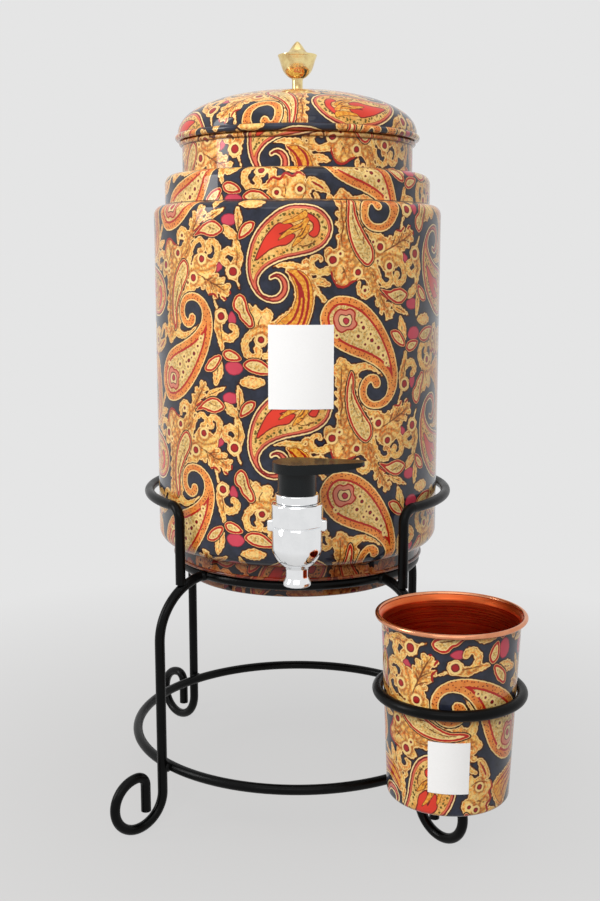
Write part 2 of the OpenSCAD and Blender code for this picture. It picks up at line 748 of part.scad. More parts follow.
module leg(dir) {
    arch_stop = asin((rod_r - weld) / arch_r);
    knee_z = ring_z - arch_r;
    ankle_z = rod_r + foot_sweep;
    foot_x = leg_spread + foot_sweep;
    eye_z = rod_r + 2 * foot_curl - foot_eye;
    color(BLACK) rotate([0, 0, dir]) {
        upright_bend([ring_r, knee_z], arch_r, 0, 90 - arch_stop);
        translate([leg_spread, 0, ankle_z]) rod(knee_z - ankle_z);
        upright_bend([foot_x, ankle_z], foot_sweep, 180, 90);
        upright_bend([foot_x, rod_r + foot_curl], foot_curl, -90, 180);
        upright_bend([foot_x, eye_z], foot_eye, 90, 90);
        translate([foot_x - foot_eye, 0, eye_z - foot_tip]) rod(foot_tip);
    }
}

module leg_front_left() {
    leg(front_left_angle);
}

module leg_front_right() {
    leg(front_right_angle);
}

module leg_back_right() {
    leg(back_right_angle);
}

module leg_back_left() {
    leg(back_left_angle);
}

module tumbler() {
    z0 = cup_bottom_z;
    flare_z = cup_top_z - cup_flare_h;
    bead_z = cup_top_z - cup_bead;
    bead_r = cup_r(flare_z) + cup_flare - cup_bead;
    foot_c = [cup_r(z0 + cup_round) - cup_round, z0 + cup_round];
    flare = [for (i = [1 : 6]) let (t = i / 6)
        [cup_r(flare_z) + (bead_r - cup_r(flare_z)) * t * t, flare_z + (bead_z - flare_z) * t]];
    wall = [for (i = [len(flare) - 1 : -1 : 0]) flare[i] - [sheet, 0]];
    color(PRINT) translate(cup_at) rotate_extrude($fn = ROUND) {
        polygon(concat(
            [[0, z0]], arc(foot_c, cup_round, -90, 0, 5), [[cup_r(flare_z), flare_z]], flare,
            wall, [[cup_r(flare_z) - sheet, flare_z]],
            arc(foot_c, cup_round - sheet, 0, -90, 5), [[0, z0 + sheet]]));
        translate([bead_r, bead_z]) circle(r = cup_bead, $fn = ROD_ROUND);
    }
}

pot_body();
pot_shoulder();
pot_base();
lid_shell();
lid_collar();
lid_knob();
knob_screw();
knob_washer();
pot_label();
tap_body();
tap_outer_gasket();
tap_inner_gasket();
tap_lock_nut();
tap_trim_ring();
tap_bonnet();
tap_bonnet_seal();
tap_stem_seal();
tap_spring();
tap_stem();
tap_stem_pin();
tap_seat_cup();
tap_lever();
support_ring();
guard_hoop();
lower_ring();
leg_front_left();
leg_front_right();
leg_back_right();
leg_back_left();
tumbler_ring();
tumbler();
tumbler_label();
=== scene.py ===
import math

import bmesh
import bpy
import numpy as np
from mathutils import Matrix, Vector, noise


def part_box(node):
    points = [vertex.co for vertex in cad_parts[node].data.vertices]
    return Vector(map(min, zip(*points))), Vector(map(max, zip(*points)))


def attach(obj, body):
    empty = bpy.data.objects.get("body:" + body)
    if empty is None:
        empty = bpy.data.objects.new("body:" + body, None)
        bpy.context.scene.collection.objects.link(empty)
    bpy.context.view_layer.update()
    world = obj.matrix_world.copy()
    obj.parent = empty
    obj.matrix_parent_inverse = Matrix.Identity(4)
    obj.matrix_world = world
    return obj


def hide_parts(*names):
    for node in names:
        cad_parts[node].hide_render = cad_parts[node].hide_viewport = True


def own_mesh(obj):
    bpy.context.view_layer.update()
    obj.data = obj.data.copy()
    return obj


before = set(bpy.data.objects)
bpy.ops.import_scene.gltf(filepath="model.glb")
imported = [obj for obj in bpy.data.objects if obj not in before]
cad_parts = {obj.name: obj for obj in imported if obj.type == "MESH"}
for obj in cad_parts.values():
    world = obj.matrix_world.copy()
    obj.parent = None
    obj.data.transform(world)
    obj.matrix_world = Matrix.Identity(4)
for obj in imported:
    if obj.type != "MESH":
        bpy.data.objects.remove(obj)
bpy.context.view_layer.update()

MM = 0.001
FRONT = math.radians(270)
WHOLE_TURN = (-180, 180)

# Sizes read from the frame
POT_LOW, POT_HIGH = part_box("pot_body")
SHOULDER_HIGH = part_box("pot_shoulder")[1]
BASE_LOW, BASE_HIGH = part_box("pot_base")
LID_LOW, LID_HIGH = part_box("lid_shell")
KNOB_LOW, KNOB_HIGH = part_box("lid_knob")
CUP_LOW, CUP_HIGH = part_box("tumbler")
TAP_LOW, TAP_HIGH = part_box("tap_body")
TRIM_LOW, TRIM_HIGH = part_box("tap_trim_ring")
SPRING_LOW, SPRING_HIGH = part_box("tap_spring")

# Pot and lid, from the axis out and from the stand's ring up
SHEET = 1 * MM
POT_R = POT_HIGH.x
POT_FOOT_ROUND = 9 * MM
POT_TOP_ROUND = 6 * MM
BAND_R = POT_R - 10 * MM
BAND_Z = POT_LOW.z
POT_Z = BAND_Z + 7.1 * MM
POT_TOP_Z = POT_HIGH.z
STEP_R = SHOULDER_HIGH.x
STEP_ROUND = 6 * MM
NECK_R = STEP_R - 11 * MM
MOUTH_BEAD = 1.4 * MM
MOUTH_Z = SHOULDER_HIGH.z - MOUTH_BEAD
STEP_TOP_Z = MOUTH_Z - 18.3 * MM
CREASE_ROUND = 0.8 * MM
BASE_R = POT_R - 17 * MM
BASE_EDGE = 2 * MM
BASE_Z = BASE_LOW.z
SEAM_R = BASE_HIGH.x
SEAM_Z = BAND_Z - 2 * MM
BRIM_BEAD = 2 * MM
BRIM_R = LID_HIGH.x - BRIM_BEAD
BRIM_Z = LID_LOW.z + BRIM_BEAD
BRIM_FLOOR_Z = LID_LOW.z + 0.2 * MM
BRIM_INNER_R = NECK_R - SHEET + 0.4 * MM
DOME_R = BRIM_R + 0.3 * MM
DOME_Z = BRIM_Z + BRIM_BEAD + 0.2 * MM
DOME_H = LID_HIGH.z - DOME_Z
DOME_FULL = 2.15
SCREW_HOLE_R = 2.3 * MM

# The soldered lap down the back of the pot, in degrees from the front
LAP_SWEEP = (179.1, 180.9)
LAP_PROUD = 0.25 * MM
LAP_SUNK = 0.2 * MM
LAP_SLOPE = 0.3 * MM

# Tumbler, about its own axis
CUP_AT = (CUP_LOW + CUP_HIGH) / 2
CUP_TAPER = math.tan(math.radians(2.4))
CUP_BEAD = 1.3 * MM
CUP_ROUND = 3 * MM
CUP_FLARE = 3.6 * MM
CUP_FLARE_Z = CUP_HIGH.z - 5 * MM
CUP_BEAD_R = (CUP_HIGH.x - CUP_LOW.x) / 2 - CUP_BEAD
CUP_BEAD_Z = CUP_HIGH.z - CUP_BEAD
CUP_FLARE_R = CUP_BEAD_R + CUP_BEAD - CUP_FLARE

# Tap, about its own axis
TAP_AT = ((TRIM_LOW + TRIM_HIGH) / 2).xy
SPOUT_Z = TAP_LOW.z
SHANK_Z = SPOUT_Z + 37.6 * MM
TAP_SEAM_Z = SHANK_Z - 3.5 * MM
BARREL_TOP_Z = TRIM_LOW.z
BARREL_R = 14.2 * MM
EGG_R = 13.8 * MM
EGG_Z = TAP_SEAM_Z - 11.4 * MM
SPOUT_NECK_R = 6.4 * MM
SPOUT_LIP_R = 7.6 * MM
SPOUT_BORE_R = 4.8 * MM
CHAMBER_R = 8.8 * MM
CHAMBER_Z = EGG_Z + 1.5 * MM
SHANK_R = 8 * MM
WATER_R = 4.5 * MM
FLANGE_R = 12.5 * MM
FLANGE_T = 4 * MM
FLANGE_Y = -POT_R - 2.5 * MM
SHANK_END_Y = TAP_HIGH.y
THREAD_PITCH = 1 * MM
THREAD_DEPTH = 0.5 * MM
LUG_REACH = BARREL_R + 2 * MM
TRIM_R = (TRIM_HIGH.x - TRIM_LOW.x) / 2
TRIM_BORE_R = CHAMBER_R + 0.3 * MM
TRIM_EDGE = 0.8 * MM
SPRING_WIRE = 0.5 * MM
SPRING_CURLS = 5

# Knob, from the dome up
KNOB_Z = KNOB_LOW.z
KNOB_STEM_R = 3.3 * MM
KNOB_STEM_H = 7.8 * MM
KNOB_R = KNOB_HIGH.x
KNOB_CAP_H = 8.7 * MM
KNOB_BOWL_H = KNOB_HIGH.z - KNOB_CAP_H - KNOB_STEM_H - KNOB_Z
KNOB_BORE_R = 2.08 * MM
KNOB_BORE_H = 10 * MM

# Welds of the stand: the legs' directions, and the welds of each leg, at the support ring and at the lower
# ring, as distance from the axis, height and radius
WELD_TURNS = (222.8, 311, 42, 133.5)
WELDS = ((78 * MM, 150 * MM, 4.1 * MM), (108.7 * MM, 36 * MM, 3.9 * MM))

# The print is a paisley repeat in millimetres, u across and z up. One cell is listed. The next
# cell is the same one upside down, GLIDE_U further on.
GLIDE_U = 114.4
GLIDE_Z = 576.0
REPEAT_Z = 100.0
GRID = 0.4
CELLS_U = round(2 * GLIDE_U / GRID)
CELLS_Z = round(REPEAT_Z / GRID)
CANVAS_U = (-70.0, 116.0)
CANVAS_Z = (236.0, 404.0)
OUTSIDE = -5.0

# The shapes of the cell, by the layer that they ink. Each is a word, its points as u,z, and then a radius
# for a dot, a half-width at each point for a stem, and nothing for a pen line or a blob, which is a smooth
# closed outline. A frond is a lobed leaf: points along its spine, half its width at each, and its pairs of
# lobes.
DRAWING = {
    "gold": """
# each shape lies over those before it
# the feathers that spring from the horn's curl
blob -6.5,335 -1,335.2 5,332.3 9,326 9.8,318 8.6,310 6.4,303.5 4,297 -1,293.5 -7,295.5 -13,299.5 -13.5,305
  -9,308.8 -4,312.5 -1.6,318 -1.8,324 -4.6,330
stem -13.4,336 -7,336.8 0,336.2 5.2,334.4 7.2,336.4 5.6,339 3.6,337.8 0.5 1.5 1.7 1.5 1.4 1.3 1.3
stem 6,331 9,326 12.5,320.5 16.5,315.5 1.6 1.3 1.2 1.5
stem 5,334 9,332.4 12.4,333 1.2 1.5 0.5
blob 8.6,328.6 12,330 16,328.6 19,325.6 15,324.8 11,325.6
# the mass of flowers under the label, with two buds
blob -20,279.6 -16,284 -17.4,288.4 -13.4,291.4 -9.6,290.4 -6.6,293.6 -2.4,292 0.4,294.2 4.4,292.4
  4.6,288.6 8.4,286 7,281.6 9.4,278.4 4,276.4 -2,277.8 -8,275.6 -14.4,277
blob -10.4,291.6 -12.6,288.6 -10.4,285.6 -6.4,286 -5,289.4 -7.4,291.8
blob 6.6,291.4 5,287.4 8.6,284.6 12.4,283.4 18.4,282.6 17,286.4 13,289.6
dot 1.6,284.6 3.2
dot -11.4,282.8 3
stem 10,282 12.6,277.6 16.6,275.4 19.4,277.6 18,280.2 1.1 1.5 1.7 1.6 1.9
# the mass of flowers beside the horn
stem 13.6,339.4 12,341.2 9,340.2 7.9,336.8 9.8,333.6 14,332.6 19,334.4 1.2 1.5 1.6 1.8 1.9 2 2.6
blob 18,336 15.6,340 15.4,344.6 18.2,346.8 21,345.2 24,347.4 28,347 31,343.6 34,339.6 38,337 43,336.4
  47.6,333 48.2,328.6 45,325.2 41,326.6 38,329 34.6,328.4 31,326.8 27,324.6 23.6,324.4 21,327.6 19.4,332
blob 19.6,343.6 16.4,341.8 16.6,337.6 20,335.4 23.6,337 24,341 22.4,343.6
blob 22,336 20.8,331 23,326.8 27,325.6 30.6,328 31.4,332.6 29.6,338 26,339.4
blob 31,336 31,331 34.6,328.8 38.4,330.6 38.8,335 35.4,337.6
blob 27.4,346 25,342.4 28,339.4 32,340.4 32,344
stem 35.6,326.4 35.6,322.4 38.4,319.4 42,320 43.8,323.2 43.4,327 1.2 1.5 1.7 1.7 1.8 2.4
dot 39.4,323 2.2
# the long leaf that hugs the spiral
blob 24.4,344 22.4,349 24,354.4 22.6,360 23.8,366 21.6,371 22.8,377 22.4,382.6 25.2,385.4 28.8,383.2
  32,381 38.6,382 46,379.4 52.6,373.4 46.2,376.6 39.2,377.8 34.8,373.8 32.4,366 33.4,357 38,348 41,341
  36,337.6 30,340.6
blob 37,359.6 40.4,357.4 44.4,354.4 48.6,353.6 52.6,351.4 53.6,347.6 51,343.6 46.4,343.4 44.6,347
  41.6,352.4 38.4,356.6
# lobed fronds: the spine, half the leaf's width along it, and the pairs of lobes
frond 31,337 27,346 25.4,357 25.2,368 26.6,380 5 5 4.4 4.4 3 7
frond 34.6,374 37,364 41.4,357 48,351.6 3.4 3.6 3.8 4 4
frond 50.6,342 56,345.6 64,350 73.4,354.6 5 8.4 8.6 4.6 5
frond 45.6,327 48.6,320 52.8,313 57.4,307.4 3.6 5.4 5.6 3 4
frond -31.6,317.4 -28,309.6 -21.6,303.6 -14.6,300.6 4 6.4 7.4 5 4
frond 27,327 33,332.6 41,333.4 47.4,330 5 6 5 4 4
# what joins the rings, the oak leaf and the scrolls
blob 44.4,350.6 50,352.4 56,351 62,347 66.6,342 65,337.4 59,334.4 53,333 48.6,337 45.2,343
blob 33.2,373 34.6,364.6 38.2,357.6 42.6,352.4 47,349 51.4,352.6 47.4,355.2 43.8,357.4 41,361.2 38.8,366
  37.4,372.6
# scrolls with their dotted rings
stem 46,341.6 46,336.6 48,331 50.8,326.8 54.6,325 57.6,327.4 57,331 54.6,331.6 1.6 1.5 1.5 1.5 1.6 1.6 1.5
  1.7
stem 52,339.6 56,340.6 61,339.6 65.6,337.2 67.8,333 67,328.4 63.6,326 60.6,328 61.6,331.2 1.6 2 2.2 2.2
  2.2 2.1 2 1.9 2.2
dot 56,336 4.2
dot 49.2,346.6 4.2
blob 57.6,315.4 61.6,315.4 66.6,312.6 72.4,308 66.6,308.8 61.8,310.4 58.8,312.6
# first figure
stem 66.6,263.4 64.4,257.6 0.9 0.35
stem 69,268 67.2,273 68.6,279 70,286.6 3.4 2.8 2.4 1.2
stem 68.4,276 72.4,280.2 77,279.6 79,276 76.4,273.6 1.6 2.2 2.2 1.9 2.1
dot 69.4,268 4.4
blob 66.8,293 63.6,300 64.6,307.8 67.8,305 70.4,299.6 69.6,293
# second figure
stem 79.2,347 81.6,352.6 0.9 0.35
stem 78.4,341 80.8,335.6 79.8,330 79,323 3.4 3 2.4 1.2
stem 79.6,334.6 75.4,331.4 71.6,333 70.6,336.8 73.6,338.4 1.6 2.2 2.2 1.9 2.1
dot 77.4,343 4.7
blob 79.6,325.4 75,324.6 71,320.8 71.4,317 75.8,318.4 79.6,321.6
blob 80.8,322 78.8,314.4 79.8,307 82.8,311.4 83.2,318
# the group left of the label
blob -13,300 -14.6,304.4 -13.6,309.4 -16.6,312.8 -20.4,311.4 -23.4,314.4 -27,311.4 -28.6,306 -27,300.4
  -22.6,297.4 -17,297
stem -15,300 -21,300.4 -27,297.6 -30,292.4 -28.6,287 -24.2,285.2 -21.6,287.6 -22.8,290 2 2.2 2.3 2.3 2.2 2
  1.9 2
dot -20.4,295.2 4
stem -14,295 -13.4,290 -15.6,286.4 -18.6,286 2.4 2 1.7 1.6
blob -33.6,270.6 -29.4,274 -24,274.4 -18,271.6 -22.4,268 -28.6,268
blob -14,279 -9.6,281.4 -6,279.6 -5,275.6 -8.4,273.6 -12.6,275.2
stem 24.6,281.6 21.4,278.6 23.4,274.6 27.6,274.4 32.4,276.8 1.9 1.7 1.6 1.5 0.6
""",
    "horn": """
blob 0,370.3 -5,369.6 -12,366.3 -20,359.5 -25.3,352 -28.3,343 -29,334 -27,325.8 -22.5,319.3 -16.5,316
  -10.5,315.7 -6.5,318.3 -4.3,323 -4.8,328.3 -8,332 -12,332.8 -15.8,330.6 -15,328.2 -12,329.2 -9.6,327
  -9.4,323.2 -12,320.4 -16,320 -20,322.4 -21.6,328 -18.5,333.2 -13,337 -6,339.6 2,341.2 10,343.5 16.6,348
  20,355 19,361.5 14.5,366.8 8,369.7
""",
    "pear": """
blob 15.5,314.5 13.2,310 13,305 15,299 18.8,294 23,290.3 30,286.8 38,283.8 45.5,280.3 51,276.4 55,271.2
  55.5,265.6 53,261.4 48.5,259.5 44,260.3 41.3,263.7 41.6,268 44,270.4 45.6,267.6 48.4,266.8 50.6,269
  49.8,272.6 46.6,275 42,274.8 38,271.6 36.2,266.4 37.2,260.8 41.2,256.6 46.6,255 52.6,255.6 58,258.9
  61.8,264.2 63.4,270.5 63.2,277 61.2,285 58,292.4 53,301 46.4,309.2 39,315.4 31,319 23,319.6 18.5,317.6
""",
    "leaf": """
# leaves and petals with a red outline
blob 33.2,374 33.4,366 35.6,360 40,352.6 44.4,346 44.8,339.4 40.6,336 34.8,340.6 30.2,349 28,359 28.4,369
  31,377.4
blob 49.6,323.4 56,322.2 60.6,323.4 65.6,323.6 71.4,320 67.4,315.4 62.6,314.4 57.2,316.6 53,320
blob 57.2,298.8 61,300 65.4,298.2 69.4,292.6 68.6,289.8 64,290.8 59.6,294
blob 70.2,288.6 74,286.4 79.6,288.4 82.4,292.4 77,293.6 72,292.4
blob 80.6,325 84.4,324.4 89.4,320.6 90.6,316 86,315.6 82,319
blob -24.6,303 -27.4,301.6 -30,303.8 -32.8,306.4 -34.2,309.6 -36.8,311.8 -37.4,315.4 -36,318.8 -33,320.8
  -30.4,319.4 -28.6,316 -27.6,311.6 -25.4,307.6
blob -31.4,280.6 -27.4,284.2 -21,284 -16,280.6 -12.4,276.4 -19,275.2 -26.4,276.6
""",
    "pink": """
blob 71.6,296.4 74.6,293.6 80.4,293.8 83.4,297.2 80.2,300.8 74.4,300.6
blob 71,316.6 70.2,313.2 74,311 79,312.2 79.6,316 76,317.8
blob 62.6,342.8 66.6,343.6 70.4,341.2 70,338 66.6,337.6 63.4,340
blob -38.4,311 -40.6,306.4 -38.4,303.4 -35.2,304.6 -35.8,308.4
""",
    "dots": """
dot 20,339.4 2.3  dot 24.4,342.8 0.9  dot 35,332.6 1.9  dot 49.2,346.6 2.2  dot 44.4,349.4 0.9
dot 56,336 2.1  dot 39.4,322.6 1.1  dot 69.4,268 2.4  dot 77.4,343 2.6  dot 76.6,328.6 1.2
dot -20.4,295.2 2  dot -9.4,278.4 1.3  dot 47.6,338.8 0.8  dot 1.6,284.6 1.7  dot -11.4,282.8 1.5
# seeds of the pear
dot 38.6,301.6 1.2  dot 35.4,297 1.1  dot 44.2,294.4 1.3  dot 43.4,298 0.8  dot 48.8,290 1.2
dot 37.4,304.6 0.8  dot 52,285.6 0.9  dot 39.8,292.2 0.8  dot 41.6,295.4 0.7  dot 46.6,292.6 0.7
dot 22.4,297.6 0.7  dot 54.6,281 0.7
""",
    "coral": """
# the flame and the arc on the horn
blob -23,339.8 -20.6,346 -17.3,352 -13.8,356 -10.6,358.9 -6.6,359 -2.6,358.2 -5.6,355.8 -10.4,353.6
  -6.6,352.9 -1.4,353.2 -3.4,349.8 -6,348 -10.4,347.3 -15.2,345.4 -19.4,342.3
blob 0.9,362.6 1.6,364 4.7,364.6 8,363.6 11,361.2 12.3,357.6 11.4,353.6 9.3,352.1 6.8,353.5 8.9,356
  9.2,359 7,361.2 4.2,362.2 2.4,361.8
""",
    "tongue": """
blob -4.4,333.4 0.6,333.6 5.4,330.6 8,325 8.6,317 7,309 4.6,302.6 1.6,297 -2.6,295.6 -8,298.6 -11.6,302.6
  -8,307 -3,311.4 -0.4,317.6 -0.6,324.6 -3,330
blob 5.6,363.4 1,361 -4,359.6 -8.6,359.2 -6,360.8 -2,362.2 2,364.6 4.6,366.2
blob 6.4,361.6 4.8,358 0,355.4 -6,352.6 -10.6,350 -7.6,353.6 -3,357 2,359.4 4.4,362
blob 7,358.6 5.4,353.6 2,349.6 -2.8,346.6 -1,350 1.4,353.6 4,357
""",
    "rose": """
blob 20.2,306 21,310 24,312.6 27.2,312 30.4,312.8 33.6,310.4 33.6,306.6 35,303.6 32,300.6 28.6,300.2
  25.4,298.8 22,301
""",
    "cup": """
blob 23.2,306.6 24.6,309.4 27.6,309 30.6,309.4 31.8,306 30.4,302.8 27,302.2 24.2,303.4
""",
    "heart": """
blob 25.8,306 27.4,307.7 29.8,306.4 29.4,304.2 27.4,303.6
""",
    "red": """
# edges of the scalloped flowers, and lines along the feathers
pen 19.2,333 20.6,328 23.2,325 27,324.6 30.8,327 34.6,328.6
pen -16.6,288 -13.4,291 -9.6,290 -6.6,293.2 -2.4,291.6 0.4,293.8 4.4,292
pen -5.6,333.4 -0.6,328.6 1.4,321 0.6,313 -2.6,306.4 -8,302
pen 0.4,333.4 5,328.4 6.4,320 5.6,311 3,303 0,297
pen -3,331.6 1.8,325 3.6,317 2.2,308 -1,301.6
pen 8,288.6 12,286.6 16,284
pen 70,357 73.4,358.8 76.6,357.2 75.4,354.6 77,352
pen 61,356 64.8,355.8 67.4,358.4
pen 50,320.6 55,317.4 58,314.6
""",
    "veins": """
# veins, and last the shades on the horn
pen 50.6,343.6 56,345.8 62,348.6 69,352 74.6,355.4
pen 57,346.4 59.4,350.6 60.4,353.6
pen 62,348.8 64.6,352.4 65.8,355.6
pen 60,347.4 64,346.6 67.6,346.8
pen 66,350.6 69.6,350 72.4,350.4
pen 25.6,346 24.8,352 26,358 24.8,364 25.2,371 25.2,379
pen 24.6,337 26.6,333.6 28.4,329.6
pen 26.6,333.6 24.6,331
pen 27.4,335.6 29.4,333.4
pen 42,334 44.6,331 45.6,327.6
pen 48,323 50,318.6 53,314 56.6,308
pen 60,313.4 65,311.4 69,309.4
pen 67,295 66.6,300 65.8,304.6
pen 68.4,271.6 69.4,277.6 70,283
pen 79.4,340 80.2,334 79.6,328
pen 80.8,319 81,314 80.6,310
pen -31.6,317 -30.6,311 -28.4,306.4
pen -20,308.4 -22,303.6 -18.6,300.8
pen 38,354 38.4,350 39.4,346
pen -10,306 -6,303 -2,301
pen 15,327 11.6,327.8
pen -8,288.8 -6.4,284 -7.6,279
pen 4,289 4.6,283 2.4,279
pen 60,317.6 63.6,319 67,320
pen 31.4,370 31.6,362 34,355 38,348
pen 36.4,343 40,340
pen 46.6,350 49,346.6 50.6,345
pen 3.4,361.2 2.6,358.2 -1,356.3 -6.4,356.2
pen 5,357.6 2.4,353 -2,351
pen -0.6,348.2 3.4,347 8.2,348.4 11.6,350.4
pen 1,350.6 3.6,351.4 5.4,354.4
""",
}
LAYERS = ("mass", *DRAWING)

# Half-width of a pen line, by layer, and the shares of it at the line's two ends
PEN = {"red": 0.7, "veins": 0.42}
PEN_START, PEN_END = 0.7, 0.5

# A frond's spine and lobes, as shares of the leaf's half-width: each point of a lobe has how far out it
# lies, and its angle from the spine in radians
SPINE_SHARE = 0.45
LOBE = ((0, 0), (0.5, 0.9), (0.86, 0.8))

canvas_us = np.arange(round(CANVAS_U[0] / GRID), round(CANVAS_U[1] / GRID) + 1)
canvas_zs = np.arange(round(CANVAS_Z[0] / GRID), round(CANVAS_Z[1] / GRID) + 1)
CANVAS = np.meshgrid(canvas_us * GRID, canvas_zs * GRID, indexing="ij")


def shapes_in(text):
    """The shapes of one layer's text: each one's word, its points and the numbers after them."""
    found = []
    for line in text.splitlines():
        for token in line.partition("#")[0].split():
            if token.isalpha():
                found.append((token, [], []))
            elif "," in token:
                u, z = token.split(",")
                found[-1][1].append((float(u), float(z)))
            else:
                found[-1][2].append(float(token))
    return found


def curve(points, closed, steps=8):
    """A smooth line through the points, as an array: a Catmull-Rom spline."""
    p = np.array(points, float)
    p = np.vstack([p[-1:], p, p[:2]]) if closed else np.vstack([2 * p[0] - p[1], p, 2 * p[-1] - p[-2]])
    t = np.linspace(0, 1, steps, endpoint=False)[:, None]
    parts = [0.5 * (2 * b + (c - a) * t + (2 * a - 5 * b + 4 * c - d) * t ** 2
                    + (3 * b - a - 3 * c + d) * t ** 3) for a, b, c, d in zip(p, p[1:], p[2:], p[3:])]
    return np.vstack(parts + ([] if closed else [p[-2:-1]]))


def near(points, margin=-OUTSIDE):
    """The part of the canvas that the points reach, as slices."""
    low, high = points.min(0) - margin, points.max(0) + margin
    a = np.searchsorted(canvas_us * GRID, [low[0], high[0]])
    b = np.searchsorted(canvas_zs * GRID, [low[1], high[1]])
    return slice(*a), slice(*b)


def along(start, stop, u, z):
    """How far along a short line the nearest point lies, from 0 to 1, and its distance."""
    du, dz = stop - start
    t = np.clip(((u - start[0]) * du + (z - start[1]) * dz) / (du * du + dz * dz), 0, 1)
    return t, np.hypot(u - start[0] - t * du, z - start[1] - t * dz)


def blob(points):
    """Depth inside a smooth closed outline, negative outside it."""
    line = curve(points, True)
    where = near(line)
    u, z = CANVAS[0][where], CANVAS[1][where]
    nearest = np.full(u.shape, np.inf)
    inside = np.zeros(u.shape, bool)
    for start, stop in zip(line, np.roll(line, -1, axis=0)):
        nearest = np.minimum(nearest, along(start, stop, u, z)[1])
        if start[1] != stop[1]:
            crossing = start[0] + (z - start[1]) * (stop[0] - start[0]) / (stop[1] - start[1])
            inside ^= ((start[1] > z) != (stop[1] > z)) & (u < crossing)
    return where, np.where(inside, nearest, -nearest)


def halves_along(line, halves):
    """The half-width at each point of a smooth line, from those at the points that it was drawn through."""
    return np.interp(np.linspace(0, len(halves) - 1, len(line)), range(len(halves)), halves)


def stem(points, halves):
    """Depth inside a line whose half-width changes along it."""
    line = curve(points, False)
    half = halves_along(line, halves)
    where = near(line, max(halves) - OUTSIDE)
    u, z = CANVAS[0][where], CANVAS[1][where]
    found = np.full(u.shape, OUTSIDE)
    for start, stop, first, last in zip(line, line[1:], half, half[1:]):
        t, distance = along(start, stop, u, z)
        found = np.maximum(found, first + (last - first) * t - distance)
    return where, found


def dot(centre, radius):
    """Depth inside a round dot."""
    where = near(np.array([centre]), radius - OUTSIDE)
    return where, radius - np.hypot(CANVAS[0][where] - centre[0], CANVAS[1][where] - centre[1])


def frond(spine, halves, pairs):
    """The spine and the lobes of a leaf, each as a stem, from the tip to the base."""
    line = curve(spine, False)
    half = halves_along(line, halves)
    yield stem(spine, [SPINE_SHARE * width for width in halves])
    for k in reversed(range(pairs)):
        i = round((k + 0.5) / pairs * (len(line) - 2))
        heading = math.atan2(*(line[i + 1] - line[i])[::-1])
        for side in (-1, 1):
            lobe = []
            for share, turn in LOBE:
                towards = heading + side * turn
                lobe.append(line[i] + share * half[i] * np.array([math.cos(towards), math.sin(towards)]))
            yield stem(lobe, [0.5, 0.1 * half[i] + 1.1, 0.08 * half[i] + 0.9])


def depths_of(layer, word, points, numbers):
    """The depths inside one shape, in a list, because a frond has many parts."""
    if word == "blob":
        return [blob(points)]
    if word == "dot":
        return [dot(points[0], numbers[0])]
    if word == "frond":
        return frond(points, numbers[:-1], int(numbers[-1]))
    if word == "pen":
        half = PEN[layer]
        numbers = [half * PEN_START] + [half] * (len(points) - 2) + [half * PEN_END]
    return [stem(points, numbers)]


def draw_over(field, where, depth, gap=0.05):
    """The shape lies on what is there, and cuts it back by the gap."""
    field[where] = np.maximum(np.minimum(field[where], -depth - gap), np.maximum(depth, OUTSIDE))


def draw_on(field, where, depth):
    """The shape joins what is there."""
    field[where] = np.maximum(field[where], depth)


def drawn_layers():
    """Every layer of the print on the canvas, as depths inside its shapes. The mass is all the gold."""
    layers = {name: np.full(CANVAS[0].shape, OUTSIDE) for name in LAYERS}
    for layer, text in DRAWING.items():
        draw = draw_over if layer in ("gold", "leaf") else draw_on
        for shape in shapes_in(text):
            for where, depth in depths_of(layer, *shape):
                draw(layers[layer], where, depth)
                if layer == "gold":
                    draw_on(layers["mass"], where, depth)
    return layers


def tiled(layer):
    """The canvas layer laid into one repeat, with its neighbour upside down."""
    tile = np.full((CELLS_U, CELLS_Z), OUTSIDE)
    i, j = np.meshgrid(canvas_us, canvas_zs, indexing="ij")
    glide = round(GLIDE_U / GRID), round(GLIDE_Z / GRID)
    np.maximum.at(tile, (i % CELLS_U, j % CELLS_Z), layer)
    np.maximum.at(tile, ((i + glide[0]) % CELLS_U, (glide[1] - j) % CELLS_Z), layer)
    return tile


def cut_to_order(tiles, ground_line=0.7):
    """Foliage gives way to the big shapes, with a line of ground between them."""
    big = np.maximum(tiles["horn"], tiles["pear"])
    for name in ("leaf", "mass"):
        tiles[name] = np.minimum(tiles[name], -big - ground_line)
    tiles["gold"] = np.minimum(tiles["gold"], tiles["mass"])
    tiles["pink"] = np.minimum(tiles["pink"], -np.maximum(big, np.maximum(tiles["mass"], tiles["leaf"])))
    tiles["red"] = np.minimum(tiles["red"], tiles["mass"] + 0.6)
    tiles["tongue"] = np.minimum(tiles["tongue"], np.maximum(big - 1, tiles["mass"] - 0.9))
    for name in ("coral", "rose", "cup", "heart"):
        tiles[name] = np.minimum(tiles[name], big - 1)
    return tiles


TILES = cut_to_order({name: tiled(layer) for name, layer in drawn_layers().items()})


def depth_at(tile, u, z):
    """The tile's value at places in millimetres, between its cells."""
    x, y = u / GRID % CELLS_U, z / GRID % CELLS_Z
    i, j = np.floor(x).astype(int), np.floor(y).astype(int)
    fx, fy = x - i, y - j
    i, j = i % CELLS_U, j % CELLS_Z
    i1, j1 = (i + 1) % CELLS_U, (j + 1) % CELLS_Z
    return ((tile[i, j] * (1 - fx) + tile[i1, j] * fx) * (1 - fy)
            + (tile[i, j1] * (1 - fx) + tile[i1, j1] * fx) * fy)


def arc(centre, radius, start, stop, steps):
    """Points of an arc in a cross-section, in degrees."""
    angles = np.radians(np.linspace(start, stop, steps + 1))
    return [(centre[0] + radius * math.cos(a), centre[1] + radius * math.sin(a)) for a in angles]


